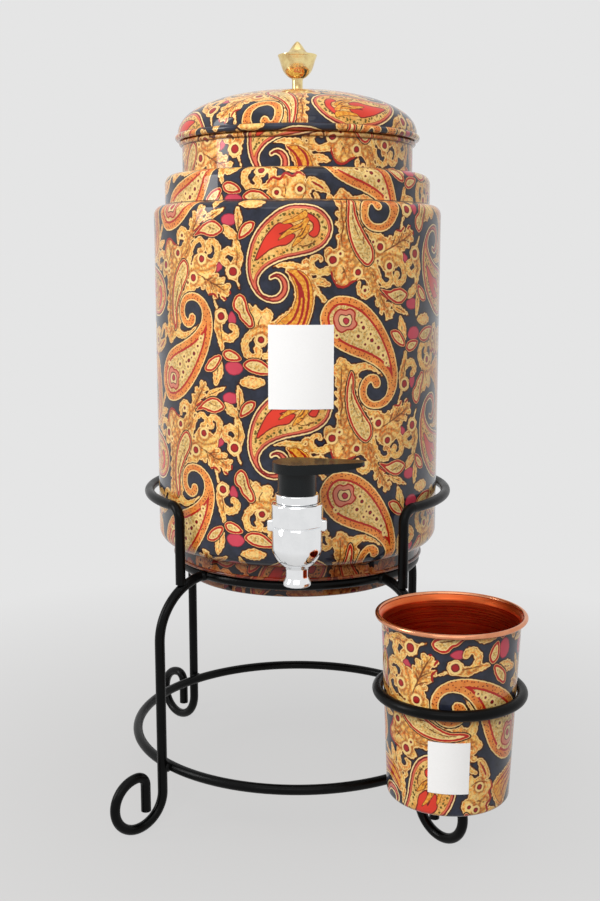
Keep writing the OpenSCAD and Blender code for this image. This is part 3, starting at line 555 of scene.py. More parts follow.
def resampled(points, spacing):
    """The same line with its points about one spacing apart, corners kept."""
    found = [points[0]]
    for a, b in zip(points, points[1:]):
        steps = max(1, round(math.dist(a, b) / spacing))
        found += [(a[0] + (b[0] - a[0]) * k / steps, a[1] + (b[1] - a[1]) * k / steps)
                  for k in range(1, steps + 1)]
    return found


def smooth_line(points):
    """A smooth line through points in metres."""
    return [tuple(p) for p in curve([(r / MM, z / MM) for r, z in points], False) * MM]


def line_length(points):
    return sum(math.dist(a, b) for a, b in zip(points, points[1:]))


def linked(name, data):
    """A new object in the scene."""
    made = bpy.data.objects.new(name, data)
    bpy.context.scene.collection.objects.link(made)
    return made


def dressed(name, body, slot, replaced, mesh, *materials):
    """A piece of the dispenser, tied to the frame, with its materials in the order of their numbers."""
    mesh.name = name
    piece = linked(name, mesh)
    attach(piece, body)
    if replaced:
        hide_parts(*replaced)
    for material in materials:
        mesh.materials.append(material)
    return piece


def smooth_mesh(maker):
    """The mesh that a bmesh holds, shaded smooth."""
    for face in maker.faces:
        face.smooth = True
    mesh = bpy.data.meshes.new("mesh")
    maker.to_mesh(mesh)
    maker.free()
    return mesh


def sharp_turns(points, least=0.5, full=1.0):
    """How tightly a cross-section bends at each of its points: 1 on a bead, -1 in a crease, 0 in between.

    The bends that count are in radians a millimetre.
    """
    p = np.array(points)
    steps = np.diff(p, axis=0)
    headings = np.unwrap(np.arctan2(steps[:, 1], steps[:, 0]))
    lengths = np.hypot(*steps.T)
    bend = np.zeros(len(p))
    bend[1:-1] = np.diff(headings) / np.maximum(lengths[1:] + lengths[:-1], 1e-9) * 2 * MM
    return np.sign(bend) * np.clip((np.abs(bend) - least) / (full - least), 0, 1)


# A point nearer the axis than this is a pole, and an edge that bends past the angle is shaded sharp
ON_AXIS = 0.0001 * MM
SHARP_ANGLE = math.radians(34)
# Height over which the painted shade low on a wall fades in
PAINTED_SHADE_FADE = 6 * MM

# Corner and size, on the bake's unit square, of a turned wall and of the caps of a part turn
BAKE_WALL = ((0.01, 0.01), (0.9, 0.97))
BAKE_CAP = ((0.92, 0.005), (0.4, 0.49))


def lathe(outer, inner, columns, sweep=WHOLE_TURN, centre=(0, 0), place=None, darker_below=-1.0):
    """A closed wall turned about a vertical axis, from its outer line up and its inner line down again.

    The sweep is in degrees from the front, and a part turn is capped. place(lengths, angles) gives the
    print's u and v in millimetres, and its ink gets painted shade below the height given. The inside takes
    the second material.
    """
    profile = np.array(outer + inner)
    rows = len(profile)
    whole = sweep == WHOLE_TURN
    angles = np.radians(np.linspace(sweep[0], sweep[1], columns + 1))
    distinct = columns if whole else columns + 1
    pole = profile[:, 0] < ON_AXIS
    closed = not (pole[0] or pole[-1])

    across, deep = np.cos(FRONT + angles[:distinct]), np.sin(FRONT + angles[:distinct])
    vertices = []
    index = np.zeros((rows, columns + 1), int)
    for k, (radius, z) in enumerate(profile):
        if pole[k]:
            index[k] = len(vertices)
            vertices.append((centre[0], centre[1], z))
            continue
        index[k] = len(vertices) + np.arange(columns + 1) % distinct
        vertices += zip(centre[0] + radius * across, centre[1] + radius * deep, [z] * distinct)

    # Each face as corners: row, column and how far it leans to the next column, for the poles
    loops, sizes, material = [], [], []
    for k in range(rows if closed else rows - 1):
        n = (k + 1) % rows
        if pole[k] and pole[n]:
            continue
        corners = [(k, 0), (k, 1), (n, 1), (n, 0)]
        if pole[k]:
            corners = [(k, 0.5), (n, 1), (n, 0)]
        if pole[n]:
            corners = [(k, 0), (k, 1), (n, 0.5)]
        block = [np.stack([np.full(columns, row), np.arange(columns) + lean], 1) for row, lean in corners]
        loops.append(np.stack(block, 1).reshape(-1, 2))
        sizes += [len(corners)] * columns
        material += [1 if k >= len(outer) - 1 else 0] * columns
    loops = np.vstack(loops)
    row, column = loops[:, 0].astype(int), loops[:, 1]
    vertex = index[row, np.minimum(column.astype(int), columns)]

    length = np.concatenate([[0], np.cumsum(np.hypot(*np.diff(profile, axis=0).T))])
    share = length / length[-1]
    corner, size = np.array(BAKE_WALL)
    maps = {"OFBake": corner + size * np.stack([column / columns, share[row]], 1)}
    if not whole:
        spread = (profile - profile.min(0)) / np.ptp(profile, axis=0).max()
        corner, size = np.array(BAKE_CAP)
        for end, cap, shift in ((0, np.arange(rows)[::-1], (0, 0)), (columns, np.arange(rows), (0, 0.5))):
            row = np.concatenate([row, cap])
            column = np.concatenate([column, np.full(rows, float(end))])
            vertex = np.concatenate([vertex, index[cap, end]])
            maps["OFBake"] = np.vstack([maps["OFBake"], corner + shift + spread[cap] * size])
            sizes.append(rows)
            material.append(0)

    mesh = bpy.data.meshes.new("mesh")
    mesh.vertices.add(len(vertices))
    mesh.vertices.foreach_set("co", np.array(vertices, np.float32).ravel())
    mesh.loops.add(len(vertex))
    mesh.loops.foreach_set("vertex_index", vertex.astype(np.int32))
    mesh.polygons.add(len(sizes))
    mesh.polygons.foreach_set("loop_start", np.concatenate([[0], np.cumsum(sizes)[:-1]]).astype(np.int32))
    mesh.polygons.foreach_set("material_index", np.array(material, np.int32))
    mesh.polygons.foreach_set("use_smooth", np.ones(len(sizes), bool))
    mesh.update(calc_edges=True)
    mesh.set_sharp_from_angle(angle=SHARP_ANGLE)

    if place:
        azimuth = angles[0] + (angles[-1] - angles[0]) * column / columns
        u, v = place(length[row] / MM, azimuth)
        maps["PrintMM"] = np.stack([u, v], 1)
        fields = {layer: depth_at(TILES[layer], u, v) for layer in LAYERS}
        turns = sharp_turns(profile)[row]
        # Bare copper on the beads, which also stands in for their copper highlight
        fields["wear_and_highlight"] = np.maximum(turns, 0)
        # Painted shade in the creases
        fields["crease"] = np.maximum(-turns, 0)
        # Painted shade on the ink below the height given
        fields["painted_shade_below"] = np.clip((darker_below - profile[row, 1]) / PAINTED_SHADE_FADE, 0, 1)
        for layer, values in fields.items():
            field = mesh.attributes.new(layer, "FLOAT", "CORNER")
            field.data.foreach_set("value", values.astype(np.float32))
    for layer, values in maps.items():
        mesh.uv_layers.new(name=layer).data.foreach_set("uv", values.astype(np.float32).ravel())
    return mesh


def rgb(text):
    """An sRGB colour written as six hexadecimal digits, as linear numbers."""
    parts = [int(text[k:k + 2], 16) / 255 for k in (0, 2, 4)]
    return [c / 12.92 if c <= 0.04045 else ((c + 0.055) / 1.055) ** 2.4 for c in parts] + [1.0]


class Nodes:
    """Short ways to add shader nodes to a tree."""

    def __init__(self, tree):
        self.tree = tree

    def put(self, socket, value):
        if isinstance(value, bpy.types.NodeSocket):
            self.tree.links.new(value, socket)
        else:
            socket.default_value = rgb(value) if isinstance(value, str) else value

    def add(self, kind, inputs=(), **settings):
        node = self.tree.nodes.new("ShaderNode" + kind)
        for key, value in settings.items():
            setattr(node, key, value)
        for key, value in dict(inputs).items():
            self.put(node.inputs[key], value)
        return node

    def math(self, operation, a, b=0.0, c=0.0, clamp=False):
        return self.add("Math", {0: a, 1: b, 2: c}, operation=operation, use_clamp=clamp).outputs[0]

    def mix(self, factor, a, b, blend="MIX"):
        return self.add("Mix", {0: factor, 6: a, 7: b}, data_type="RGBA", blend_type=blend).outputs[2]

    def attribute(self, name):
        return self.add("Attribute", attribute_name=name).outputs["Fac"]

    def place(self, uv=None):
        """Coordinates on the piece: millimetres of its print, or metres in space."""
        if uv:
            return self.add("UVMap", uv_map=uv).outputs[0]
        return self.add("TexCoord").outputs["Object"]

    def scaled(self, place, x, y, z):
        return self.add("Mapping", {"Vector": place, "Scale": (x, y, z)}).outputs[0]

    def noise(self, place, scale, detail=2.0, roughness=0.5, dimensions="3D"):
        inputs = {"Vector": place, "Scale": scale, "Detail": detail, "Roughness": roughness}
        return self.add("TexNoise", inputs, noise_dimensions=dimensions).outputs["Fac"]

    def cells(self, place, scale):
        node = self.add("TexVoronoi", {"Vector": place, "Scale": scale}, voronoi_dimensions="2D")
        return node.outputs["Distance"]

    def between(self, value, low, high, out_low=0.0, out_high=1.0):
        return self.add("MapRange", {"Value": value, 1: low, 2: high, 3: out_low, 4: out_high}).outputs[0]

    def reached(self, depth, level, soft_edge=0.16):
        """1 where the depth is past the level, with a soft edge about a sixth of a millimetre wide."""
        return self.math("MULTIPLY_ADD", depth, 1 / soft_edge, 0.5 - level / soft_edge, clamp=True)


class Finish(Nodes):
    """A material, by its shader's values."""

    def __init__(self, name, **sockets):
        self.material = bpy.data.materials.new(name)
        self.material.use_nodes = True
        super().__init__(self.material.node_tree)
        self.shader = self.tree.nodes["Principled BSDF"]
        for socket, value in sockets.items():
            self.put(self.shader.inputs[socket.replace("_", " ")], value)

    def look(self, colour, grain, smooth, rough):
        """The colour, and a roughness that follows a grain."""
        self.put(self.shader.inputs["Base Color"], colour)
        self.put(self.shader.inputs["Roughness"], self.between(grain, 0.3, 0.7, smooth, rough))

    def bump(self, height, strength, distance):
        node = self.add("Bump", {"Height": height, "Strength": strength, "Distance": distance})
        self.put(self.shader.inputs["Normal"], node.outputs[0])


def printed_finish(name, outline="2a0e08", halo=-0.65):
    """The lacquered paisley print, from the depths in the mesh's print layers.

    Every big shape has a dark outline that reaches the halo's depth outside it.
    """
    finish = Finish(name, Metallic=0.1, Roughness=0.42, Specular_IOR_Level=0.12, Coat_Weight=0.9,
                    Coat_Roughness=0.04, Coat_IOR=1.38)
    mm = finish.place("PrintMM")
    wobble = finish.math("MULTIPLY_ADD", finish.noise(mm, 0.55, dimensions="2D"), 0.6, -0.3)
    depth = {layer: finish.math("ADD", finish.attribute(layer), wobble) for layer in LAYERS}
    lobes = finish.between(finish.cells(mm, 0.4), 0.1, 0.6, 0.55, 0.0)
    depth["mass"] = finish.math("ADD", depth["mass"], lobes)
    patches = finish.between(finish.noise(mm, 0.13, 3, 0.6, "2D"), 0.36, 0.64)
    strokes = finish.between(finish.noise(mm, 0.62, 2, 0.5, "2D"), 0.4, 0.6)
    specks = finish.math("MULTIPLY", finish.between(finish.noise(mm, 0.8, 2, 0.5, "2D"), 0.57, 0.66), 0.6)

    def dotted(size, share):
        return finish.math("LESS_THAN", finish.cells(mm, size), share)

    gold = finish.mix(patches, "f6842a", "ffb84c")
    gold = finish.mix(finish.math("MULTIPLY", strokes, 0.8), gold, "ffde84")
    gold = finish.mix(specks, gold, "a4561a")
    gold = finish.mix(finish.between(depth["gold"], 1.2, 2.2, 0.0, 0.4), gold, "ffe79c")
    fold = finish.math("MULTIPLY", finish.between(depth["gold"], 0.0, 1.1, 0.8, 0.0),
                       finish.reached(depth["mass"], 0.7))
    gold = finish.mix(fold, gold, "9c400e")
    rim = finish.math("MULTIPLY", finish.reached(depth["horn"], 3.5),
                      finish.math("SUBTRACT", 1.0, finish.reached(depth["horn"], 6)))
    cream = finish.mix(patches, "eda850", "f5cb78")
    cream = finish.mix(finish.math("MULTIPLY", dotted(0.42, 0.3), rim), cream, "6a5a1c")
    cream = finish.mix(specks, cream, "8c5a1c")
    orange = finish.mix(dotted(0.5, 0.2), finish.mix(patches, "f39c48", "e88236"), "8e3412")
    straw = finish.mix(specks, finish.mix(strokes, "f3d690", "dca957"), "6e5a24")

    # By layer, the depth from which each ink lies over those before it
    bands = {
        "mass": ((halo, outline), (0, "b0641f"), (0.25, "ffdb90"), (0.75, gold)),
        "leaf": ((halo, outline), (0, "f0b070"), (0.35, "bb2216"), (1.5, "f8d890"), (2.1, straw)),
        "pink": ((0, "9c2236"), (0.5, "cf4256")),
        "horn": ((halo, outline), (0, "fbdc9c"), (0.8, "821612"), (1.7, "df6a4e"), (2.6, "b4401c"),
                 (2.9, cream)),
        "coral": ((-0.7, "7a180e"), (0, "e03a26")),
        "tongue": ((-0.35, "8a3c10"), (0, finish.mix(strokes, "f4b240", "df8424"))),
        "red": ((0, "a81e14"),),
        "pear": ((halo, outline), (0, "ffd88e"), (0.7, orange), (4.1, "bd2014"), (5.4, straw)),
        "rose": ((0, "b01c16"), (0.9, "e08468")),
        "cup": ((0, "701410"), (0.6, "f0d292")),
        "heart": ((0, "7c1416"), (0.5, "c23442")),
        "veins": ((0, "7a4012"),),
        "dots": ((-1.2, "fcd88c"), (0, "7c1414"), (0.7, "a81c1a")),
    }
    inked = depth["mass"]
    for layer in ("leaf", "horn", "pear"):
        inked = finish.math("MAXIMUM", inked, depth[layer])
    colour = finish.mix(patches, "1e212c", "2b2f3f")
    for layer, inks in bands.items():
        for level, ink in inks:
            mask = finish.reached(depth[layer], level)
            if layer in ("veins", "dots"):
                mask = finish.math("MULTIPLY", mask, finish.reached(inked, 0.3))
            colour = finish.mix(mask, colour, ink)

    # Bare copper on the beads, worn through the ink and also a painted highlight
    colour = finish.mix(finish.math("MULTIPLY", finish.attribute("wear_and_highlight"), 0.5), colour, "a8501e")
    # Painted shade in the creases, in the outline's colour
    colour = finish.mix(finish.math("MULTIPLY", finish.attribute("crease"), 0.85), colour, outline)
    # Painted shade low on the pot: on the band below the drum and on the whole base cup
    colour = finish.mix(finish.attribute("painted_shade_below"), colour, "a8867e", "MULTIPLY")
    shade = finish.between(finish.noise(mm, 0.05, 2, 0.5, "2D"), 0.3, 0.7, 0.86, 1.05)
    grey = finish.add("CombineColor", {0: shade, 1: shade, 2: shade}).outputs[0]
    dents = finish.noise(finish.place(), 28)
    grain = finish.noise(mm, 1.6, 3, 0.6, "2D")
    finish.look(finish.mix(1.0, colour, grey, "MULTIPLY"), grain, 0.34, 0.5)
    finish.bump(finish.math("MULTIPLY_ADD", grain, 0.02, dents), 0.5, 0.0012)
    return finish.material


def brushed_copper_finish(name, colour, dark):
    """Bare copper with fine rings left by turning, and a faint tarnish."""
    finish = Finish(name, Metallic=1.0, Roughness=0.3)
    place = finish.place()
    rings = finish.noise(finish.scaled(place, 8, 8, 900), 1.0, 4, 0.65)
    tarnish = finish.between(finish.noise(place, 22, 3, 0.6), 0.35, 0.7)
    worn = finish.math("MULTIPLY_ADD", finish.between(rings, 0.35, 0.65), 0.35,
                       finish.math("MULTIPLY", tarnish, 0.6), clamp=True)
    finish.look(finish.mix(worn, colour, dark), rings, 0.2, 0.38)
    finish.bump(rings, 0.35, 0.0003)
    return finish.material


def turned_metal_finish(name, colour, dark, smooth, rough, ring_scale, blotch=0.35):
    """Polished or turned metal with faint rings, and darker where it is tarnished."""
    finish = Finish(name, Metallic=1.0, Roughness=smooth)
    place = finish.place()
    rings = finish.noise(finish.scaled(place, 30, 30, ring_scale), 1.0, 3, 0.6)
    tarnish = finish.between(finish.noise(place, 160, 3, 0.6), 0.4, 0.75, 0.0, blotch)
    finish.look(finish.mix(tarnish, colour, dark), rings, smooth, rough)
    finish.bump(rings, 0.12, 0.0002)
    return finish.material


def painted_rod_finish(name):
    """Black powder paint: satin, slightly uneven, with a trace of dust."""
    finish = Finish(name, Roughness=0.3, Specular_IOR_Level=0.1, Coat_Weight=0.04, Coat_Roughness=0.1)
    place = finish.place()
    patches = finish.between(finish.noise(place, 45, 3, 0.6), 0.4, 0.7)
    finish.put(finish.shader.inputs["Base Color"], finish.mix(patches, "020202", "070808"))
    finish.put(finish.shader.inputs["Roughness"], finish.between(patches, 0.0, 1.0, 0.26, 0.4))
    finish.bump(finish.noise(place, 900), 0.2, 0.0003)
    return finish.material


def moulded_finish(name, colour, light, rough, coat, grain_scale, grain_depth):
    """Moulded plastic or rubber with a fine grain."""
    finish = Finish(name, Roughness=rough, Specular_IOR_Level=0.2, Coat_Weight=coat, Coat_Roughness=0.08)
    place = finish.place()
    patches = finish.between(finish.noise(place, 70), 0.4, 0.7)
    grain = finish.noise(place, grain_scale, 3, 0.6)
    finish.look(finish.mix(patches, colour, light), grain, rough - 0.06, rough + 0.08)
    finish.bump(grain, 0.25, grain_depth)
    return finish.material


def paper_finish(name):
    """A blank white sticker with a faint fibre."""
    finish = Finish(name, Roughness=0.42, Coat_Weight=0.15, Coat_Roughness=0.2)
    fibre = finish.noise(finish.scaled(finish.place(), 900, 900, 2600), 1.0, 4, 0.7)
    finish.look(finish.mix(finish.between(fibre, 0.3, 0.7), "f7f7f6", "fcfcfc"), fibre, 0.36, 0.48)
    finish.bump(fibre, 0.15, 0.00005)
    return finish.material


PRINT = printed_finish("printed_copper")
COPPER = brushed_copper_finish("plain_copper", "f07f48", "b8431a")
LIP_COPPER = turned_metal_finish("rolled_copper_lip", "e9a078", "b8603c", 0.14, 0.24, 700)
LAP_COPPER = turned_metal_finish("worn_copper_lap", "8e5436", "45271b", 0.34, 0.5, 300, 0.8)
BRASS = turned_metal_finish("polished_brass", "fce6a6", "a8641a", 0.07, 0.15, 2600, 0.6)
CHROME = turned_metal_finish("chrome", "fbfcfd", "e4e6e8", 0.025, 0.05, 1800, 0.3)
STEEL = turned_metal_finish("steel", "b4b6b8", "8a8a8c", 0.22, 0.34, 2400)
BLACK_PLASTIC = moulded_finish("black_plastic", "050708", "0b0f11", 0.3, 0.15, 1500, 0.00006)
RUBBER = moulded_finish("seal_rubber", "19191b", "242427", 0.62, 0.0, 2200, 0.0001)
BLACK_ROD = painted_rod_finish("black_rod")
PAPER = paper_finish("paper_label")

SLOT_FINISHES = {
    "printed_copper": PRINT, "plain_copper": COPPER, "polished_brass": BRASS, "chrome": CHROME,
    "black_plastic": BLACK_PLASTIC, "seal_rubber": RUBBER, "steel": STEEL, "black_rod": BLACK_ROD,
    "paper_label": PAPER,
}

# Carried nodes
for name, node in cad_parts.items():
    for material_slot in node.material_slots:
        material_slot.material = SLOT_FINISHES[material_slot.material.name]

# Spacing of the points of the walls that show, and of those inside, and the columns round smaller pieces
FINE = 0.7 * MM
NECK_STEP = 0.75 * MM
MEDIUM = 0.9 * MM
INNER_STEP = 12 * MM
BASE_COLUMNS = 420
TAP_COLUMNS = 128
KNOB_COLUMNS = 96


def columns_round(radius, spacing, sweep=WHOLE_TURN):
    return round(math.radians(sweep[1] - sweep[0]) * radius / spacing)


def printed(name, body, replaced, mesh, *more):
    return dressed(name, body, "printed_copper", replaced, mesh, PRINT, COPPER, *more)


def chromed(name, replaced, mesh):
    return dressed(name, "pot", "chrome", [replaced], mesh, CHROME, CHROME)


# Pot, with painted shade that darkens its ink on the band below its foot
FOOT_TOP_Z = POT_Z + POT_FOOT_ROUND
POT_PAINTED_SHADE_Z = POT_Z + 5 * MM


def pot_wall(name, sweep):
    foot_c = (POT_R - POT_FOOT_ROUND, FOOT_TOP_Z)
    top_c = (POT_R - POT_TOP_ROUND, POT_TOP_Z - POT_TOP_ROUND)
    end_r = STEP_R - 2 * SHEET
    outer = resampled([(BAND_R, BAND_Z), (BAND_R, POT_Z)] + arc(foot_c, POT_FOOT_ROUND, -90, 0, 20)
                      + arc(top_c, POT_TOP_ROUND, 0, 90, 14) + [(end_r, POT_TOP_Z)], FINE)
    inner = resampled([(end_r, POT_TOP_Z - SHEET)] + arc(top_c, POT_TOP_ROUND - SHEET, 90, 0, 6)
                      + arc(foot_c, POT_FOOT_ROUND - SHEET, 0, -90, 8)
                      + [(BAND_R - SHEET, POT_Z + SHEET), (BAND_R - SHEET, BAND_Z)], INNER_STEP)
    to_wall = line_length([p for p in outer if p[1] <= FOOT_TOP_Z]) / MM
    mesh = lathe(outer, inner, columns_round(POT_R, FINE, sweep), sweep, darker_below=POT_PAINTED_SHADE_Z,
                 place=lambda s, a: (POT_R / MM * a, s - to_wall + FOOT_TOP_Z / MM))
    return printed(name, "pot", ["pot_body"], mesh)


for side, sweep in (("front", (-60, 60)), ("right", (60, 180)), ("left", (-180, -60))):
    pot_wall("pot_wall_" + side, sweep)

# The soldered lap, where the printed sheet's two ends meet
lap_line = [(POT_R - LAP_SUNK, FOOT_TOP_Z), (POT_R + LAP_PROUD, FOOT_TOP_Z + LAP_SLOPE),
            (POT_R + LAP_PROUD, POT_TOP_Z - POT_TOP_ROUND - LAP_SLOPE),
            (POT_R - LAP_SUNK, POT_TOP_Z - POT_TOP_ROUND)]
dressed("pot_lap_seam", "pot", "printed_copper", [], lathe(lap_line, [], 8, LAP_SWEEP), LAP_COPPER)

# Heights of the print at the foot of the step, and at the foot of the neck
STEP_PRINT_AT = POT_TOP_Z / MM + 6
NECK_PRINT_AT = STEP_TOP_Z / MM + 31
BASE_PRINT_AT = 232

step_c = (STEP_R - STEP_ROUND, STEP_TOP_Z - STEP_ROUND)
step_line = resampled(
    arc((STEP_R + CREASE_ROUND, POT_TOP_Z + CREASE_ROUND), CREASE_ROUND, 270, 180, 5)
    + arc(step_c, STEP_ROUND, 0, 90, 14) + [(NECK_R + CREASE_ROUND, STEP_TOP_Z)], NECK_STEP)
neck_line = resampled(
    arc((NECK_R + CREASE_ROUND, STEP_TOP_Z + CREASE_ROUND), CREASE_ROUND, 270, 180, 5)
    + arc((NECK_R - SHEET + MOUTH_BEAD, MOUTH_Z), MOUTH_BEAD, -106, 180, 18), NECK_STEP)
shoulder_inner = resampled(
    [(NECK_R - SHEET, MOUTH_Z - MOUTH_BEAD), (NECK_R - SHEET, STEP_TOP_Z - SHEET)]
    + arc(step_c, STEP_ROUND - SHEET, 90, 0, 6) + [(STEP_R - SHEET, POT_TOP_Z)], INNER_STEP)
STEP_LENGTH = line_length(step_line) / MM


def shoulder_place(lengths, angles):
    """The step's print runs on below the neck's, which is a sheet of its own."""
    on_step = lengths < STEP_LENGTH
    u = POT_R / MM * angles * np.where(on_step, STEP_R, NECK_R) / POT_R
    return u, np.where(on_step, STEP_PRINT_AT + lengths, NECK_PRINT_AT + lengths - STEP_LENGTH)


shoulder = lathe(step_line + neck_line[1:], shoulder_inner, columns_round(STEP_R, MEDIUM),
                 place=shoulder_place)
printed("pot_neck_and_step", "pot", ["pot_shoulder"], shoulder)

rim_r = (BAND_Z - SEAM_Z) / 2
base_edge_c = (BASE_R - BASE_EDGE, BASE_Z + BASE_EDGE)
base_outer = resampled(
    [(0, BASE_Z), (BASE_R - 8 * MM, BASE_Z)] + arc(base_edge_c, BASE_EDGE, -90, 0, 6)
    + [(BASE_R, SEAM_Z)] + arc((SEAM_R - rim_r, SEAM_Z + rim_r), rim_r, -90, 90, 10)
    + [(BASE_R - SHEET, BAND_Z)], MEDIUM)
base_inner = resampled(
    [(BASE_R - SHEET, BAND_Z - 0.2 * MM)] + arc(base_edge_c, BASE_EDGE - SHEET, 0, -90, 4)
    + [(0, BASE_Z + SHEET)], INNER_STEP)
# The whole base cup gets painted shade
base = lathe(base_outer, base_inner, BASE_COLUMNS, darker_below=POT_TOP_Z,
             place=lambda s, a: (BASE_R / MM * a, s + BASE_PRINT_AT - BASE_R / MM))
printed("pot_base_cup", "pot", ["pot_base"], base)

# Lid
superellipse = [(DOME_R * math.sin(t) ** (2 / DOME_FULL), DOME_Z + DOME_H * math.cos(t) ** (2 / DOME_FULL))
                for t in np.radians(np.linspace(90, 1.2, 140))]
dome_inner = [(x * (1 - SHEET / DOME_R), DOME_Z + (z - DOME_Z) * (1 - SHEET / DOME_H))
              for x, z in superellipse[::-8]]
dome_outer = [p for p in superellipse if p[0] > SCREW_HOLE_R] + [(SCREW_HOLE_R, LID_HIGH.z)]
brim = ([(BRIM_INNER_R, BRIM_FLOOR_Z), (BRIM_R - 1 * MM, BRIM_FLOOR_Z)]
        + arc((BRIM_R, BRIM_Z), BRIM_BEAD, -90, 80, 16))
lid_outer = resampled(brim + dome_outer, MEDIUM)
lid_inner = resampled(
    [(SCREW_HOLE_R, LID_HIGH.z - SHEET)] + [p for p in dome_inner if p[0] > SCREW_HOLE_R]
    + [(DOME_R - SHEET, BRIM_FLOOR_Z + SHEET), (BRIM_INNER_R, BRIM_FLOOR_Z + SHEET)], INNER_STEP)
LID_LENGTH = line_length(lid_outer) / MM
BRIM_LENGTH = line_length(brim) / MM
LID_PRINT_AT = (28.0, 292.0)
BRIM_PRINT_AT = 264.0


def lid_place(lengths, angles):
    """The print laid over the dome from its middle out, turned half round as on the real lid.

    It runs round the rolled brim, where the sheet is drawn in.
    """
    from_middle = LID_LENGTH - lengths
    dome = lengths > BRIM_LENGTH
    u = np.where(dome, LID_PRINT_AT[0] - from_middle * np.sin(angles), BRIM_R / MM * angles)
    v = np.where(dome, LID_PRINT_AT[1] + from_middle * np.cos(angles), BRIM_PRINT_AT + lengths)
    return u, v


printed("lid_dome", "lid", ["lid_shell"],
        lathe(lid_outer, lid_inner, columns_round(DOME_R, MEDIUM), place=lid_place))

# Knob: its bowl and cap as shares of its radius and of their own heights
KNOB_BOWL = [(0.3, 0.02), (0.44, 0.08), (0.6, 0.2), (0.73, 0.36), (0.82, 0.56), (0.9, 0.78), (0.97, 0.95)]
KNOB_CAP = [(0.93, 0.07), (0.62, 0.15), (0.43, 0.36), (0.27, 0.66), (0.16, 0.85), (0.07, 0.97), (0, 1)]


def knob_mesh():
    bowl_z = KNOB_Z + KNOB_STEM_H
    edge_z = bowl_z + KNOB_BOWL_H
    foot = [(KNOB_STEM_R + 2 * MM, KNOB_Z + 0.3 * MM), (KNOB_STEM_R + 1.7 * MM, KNOB_Z + 1 * MM),
            (KNOB_STEM_R + 0.3 * MM, KNOB_Z + 1.8 * MM), (KNOB_STEM_R, KNOB_Z + 3.2 * MM),
            (KNOB_STEM_R, bowl_z - 0.8 * MM)]
    outer = ([(KNOB_BORE_R, KNOB_Z), (KNOB_STEM_R + 1.8 * MM, KNOB_Z)] + smooth_line(foot)
             + smooth_line([(KNOB_R * x, bowl_z + KNOB_BOWL_H * y) for x, y in KNOB_BOWL])
             + [(KNOB_R, edge_z), (KNOB_R, edge_z + 0.5 * MM)]
             + smooth_line([(KNOB_R * x, edge_z + KNOB_CAP_H * y) for x, y in KNOB_CAP]))
    return lathe(outer, [(0, KNOB_Z + KNOB_BORE_H), (KNOB_BORE_R, KNOB_Z + KNOB_BORE_H)], KNOB_COLUMNS)


dressed("lid_finial", "lid", "polished_brass", ["lid_knob"], knob_mesh(), BRASS, BRASS)

# Tumbler, whose print is turned a quarter to the left
CUP_PRINT_AT = (-177, 305.7)
cup_foot_r = CUP_FLARE_R - (CUP_FLARE_Z - CUP_LOW.z - CUP_ROUND) * CUP_TAPER
cup_foot_c = (cup_foot_r - CUP_ROUND, CUP_LOW.z + CUP_ROUND)
flare = [(CUP_FLARE_R + (CUP_BEAD_R - CUP_FLARE_R) * t * t, CUP_FLARE_Z + (CUP_BEAD_Z - CUP_FLARE_Z) * t)
         for t in np.linspace(0, 1, 7)]
cup_outer = resampled(
    [(0, CUP_LOW.z), (cup_foot_c[0], CUP_LOW.z)] + arc(cup_foot_c, CUP_ROUND, -90, 0, 8) + flare, FINE)
cup_inner = resampled(
    [(r - SHEET, z) for r, z in flare[::-1] if z < CUP_BEAD_Z - 0.5 * MM]
    + arc(cup_foot_c, CUP_ROUND - SHEET, 0, -90, 5) + [(0, CUP_LOW.z + SHEET)], 5 * MM)
cup_side = line_length([p for p in cup_outer if p[1] < cup_foot_c[1]]) / MM
cup = lathe(cup_outer + arc((CUP_BEAD_R, CUP_BEAD_Z), CUP_BEAD, -75, 190, 16), cup_inner,
            columns_round(CUP_FLARE_R, FINE), centre=CUP_AT.xy,
            place=lambda s, a: (s - cup_side + cup_foot_c[1] / MM + CUP_PRINT_AT[0],
                                CUP_PRINT_AT[1] - CUP_FLARE_R / MM * a))
printed("tumbler_cup", "tumbler_body", ["tumbler"], cup, LIP_COPPER)

# Its rolled lip and the middle of its underside are bare
for face in cup.polygons:
    centre = face.center
    if centre.z > CUP_BEAD_Z - 1 * MM and face.material_index == 0:
        face.material_index = 2
    elif centre.z < CUP_LOW.z + 0.1 * MM and (centre - CUP_AT).xy.length < cup_foot_c[0] - 1 * MM:
        face.material_index = 1

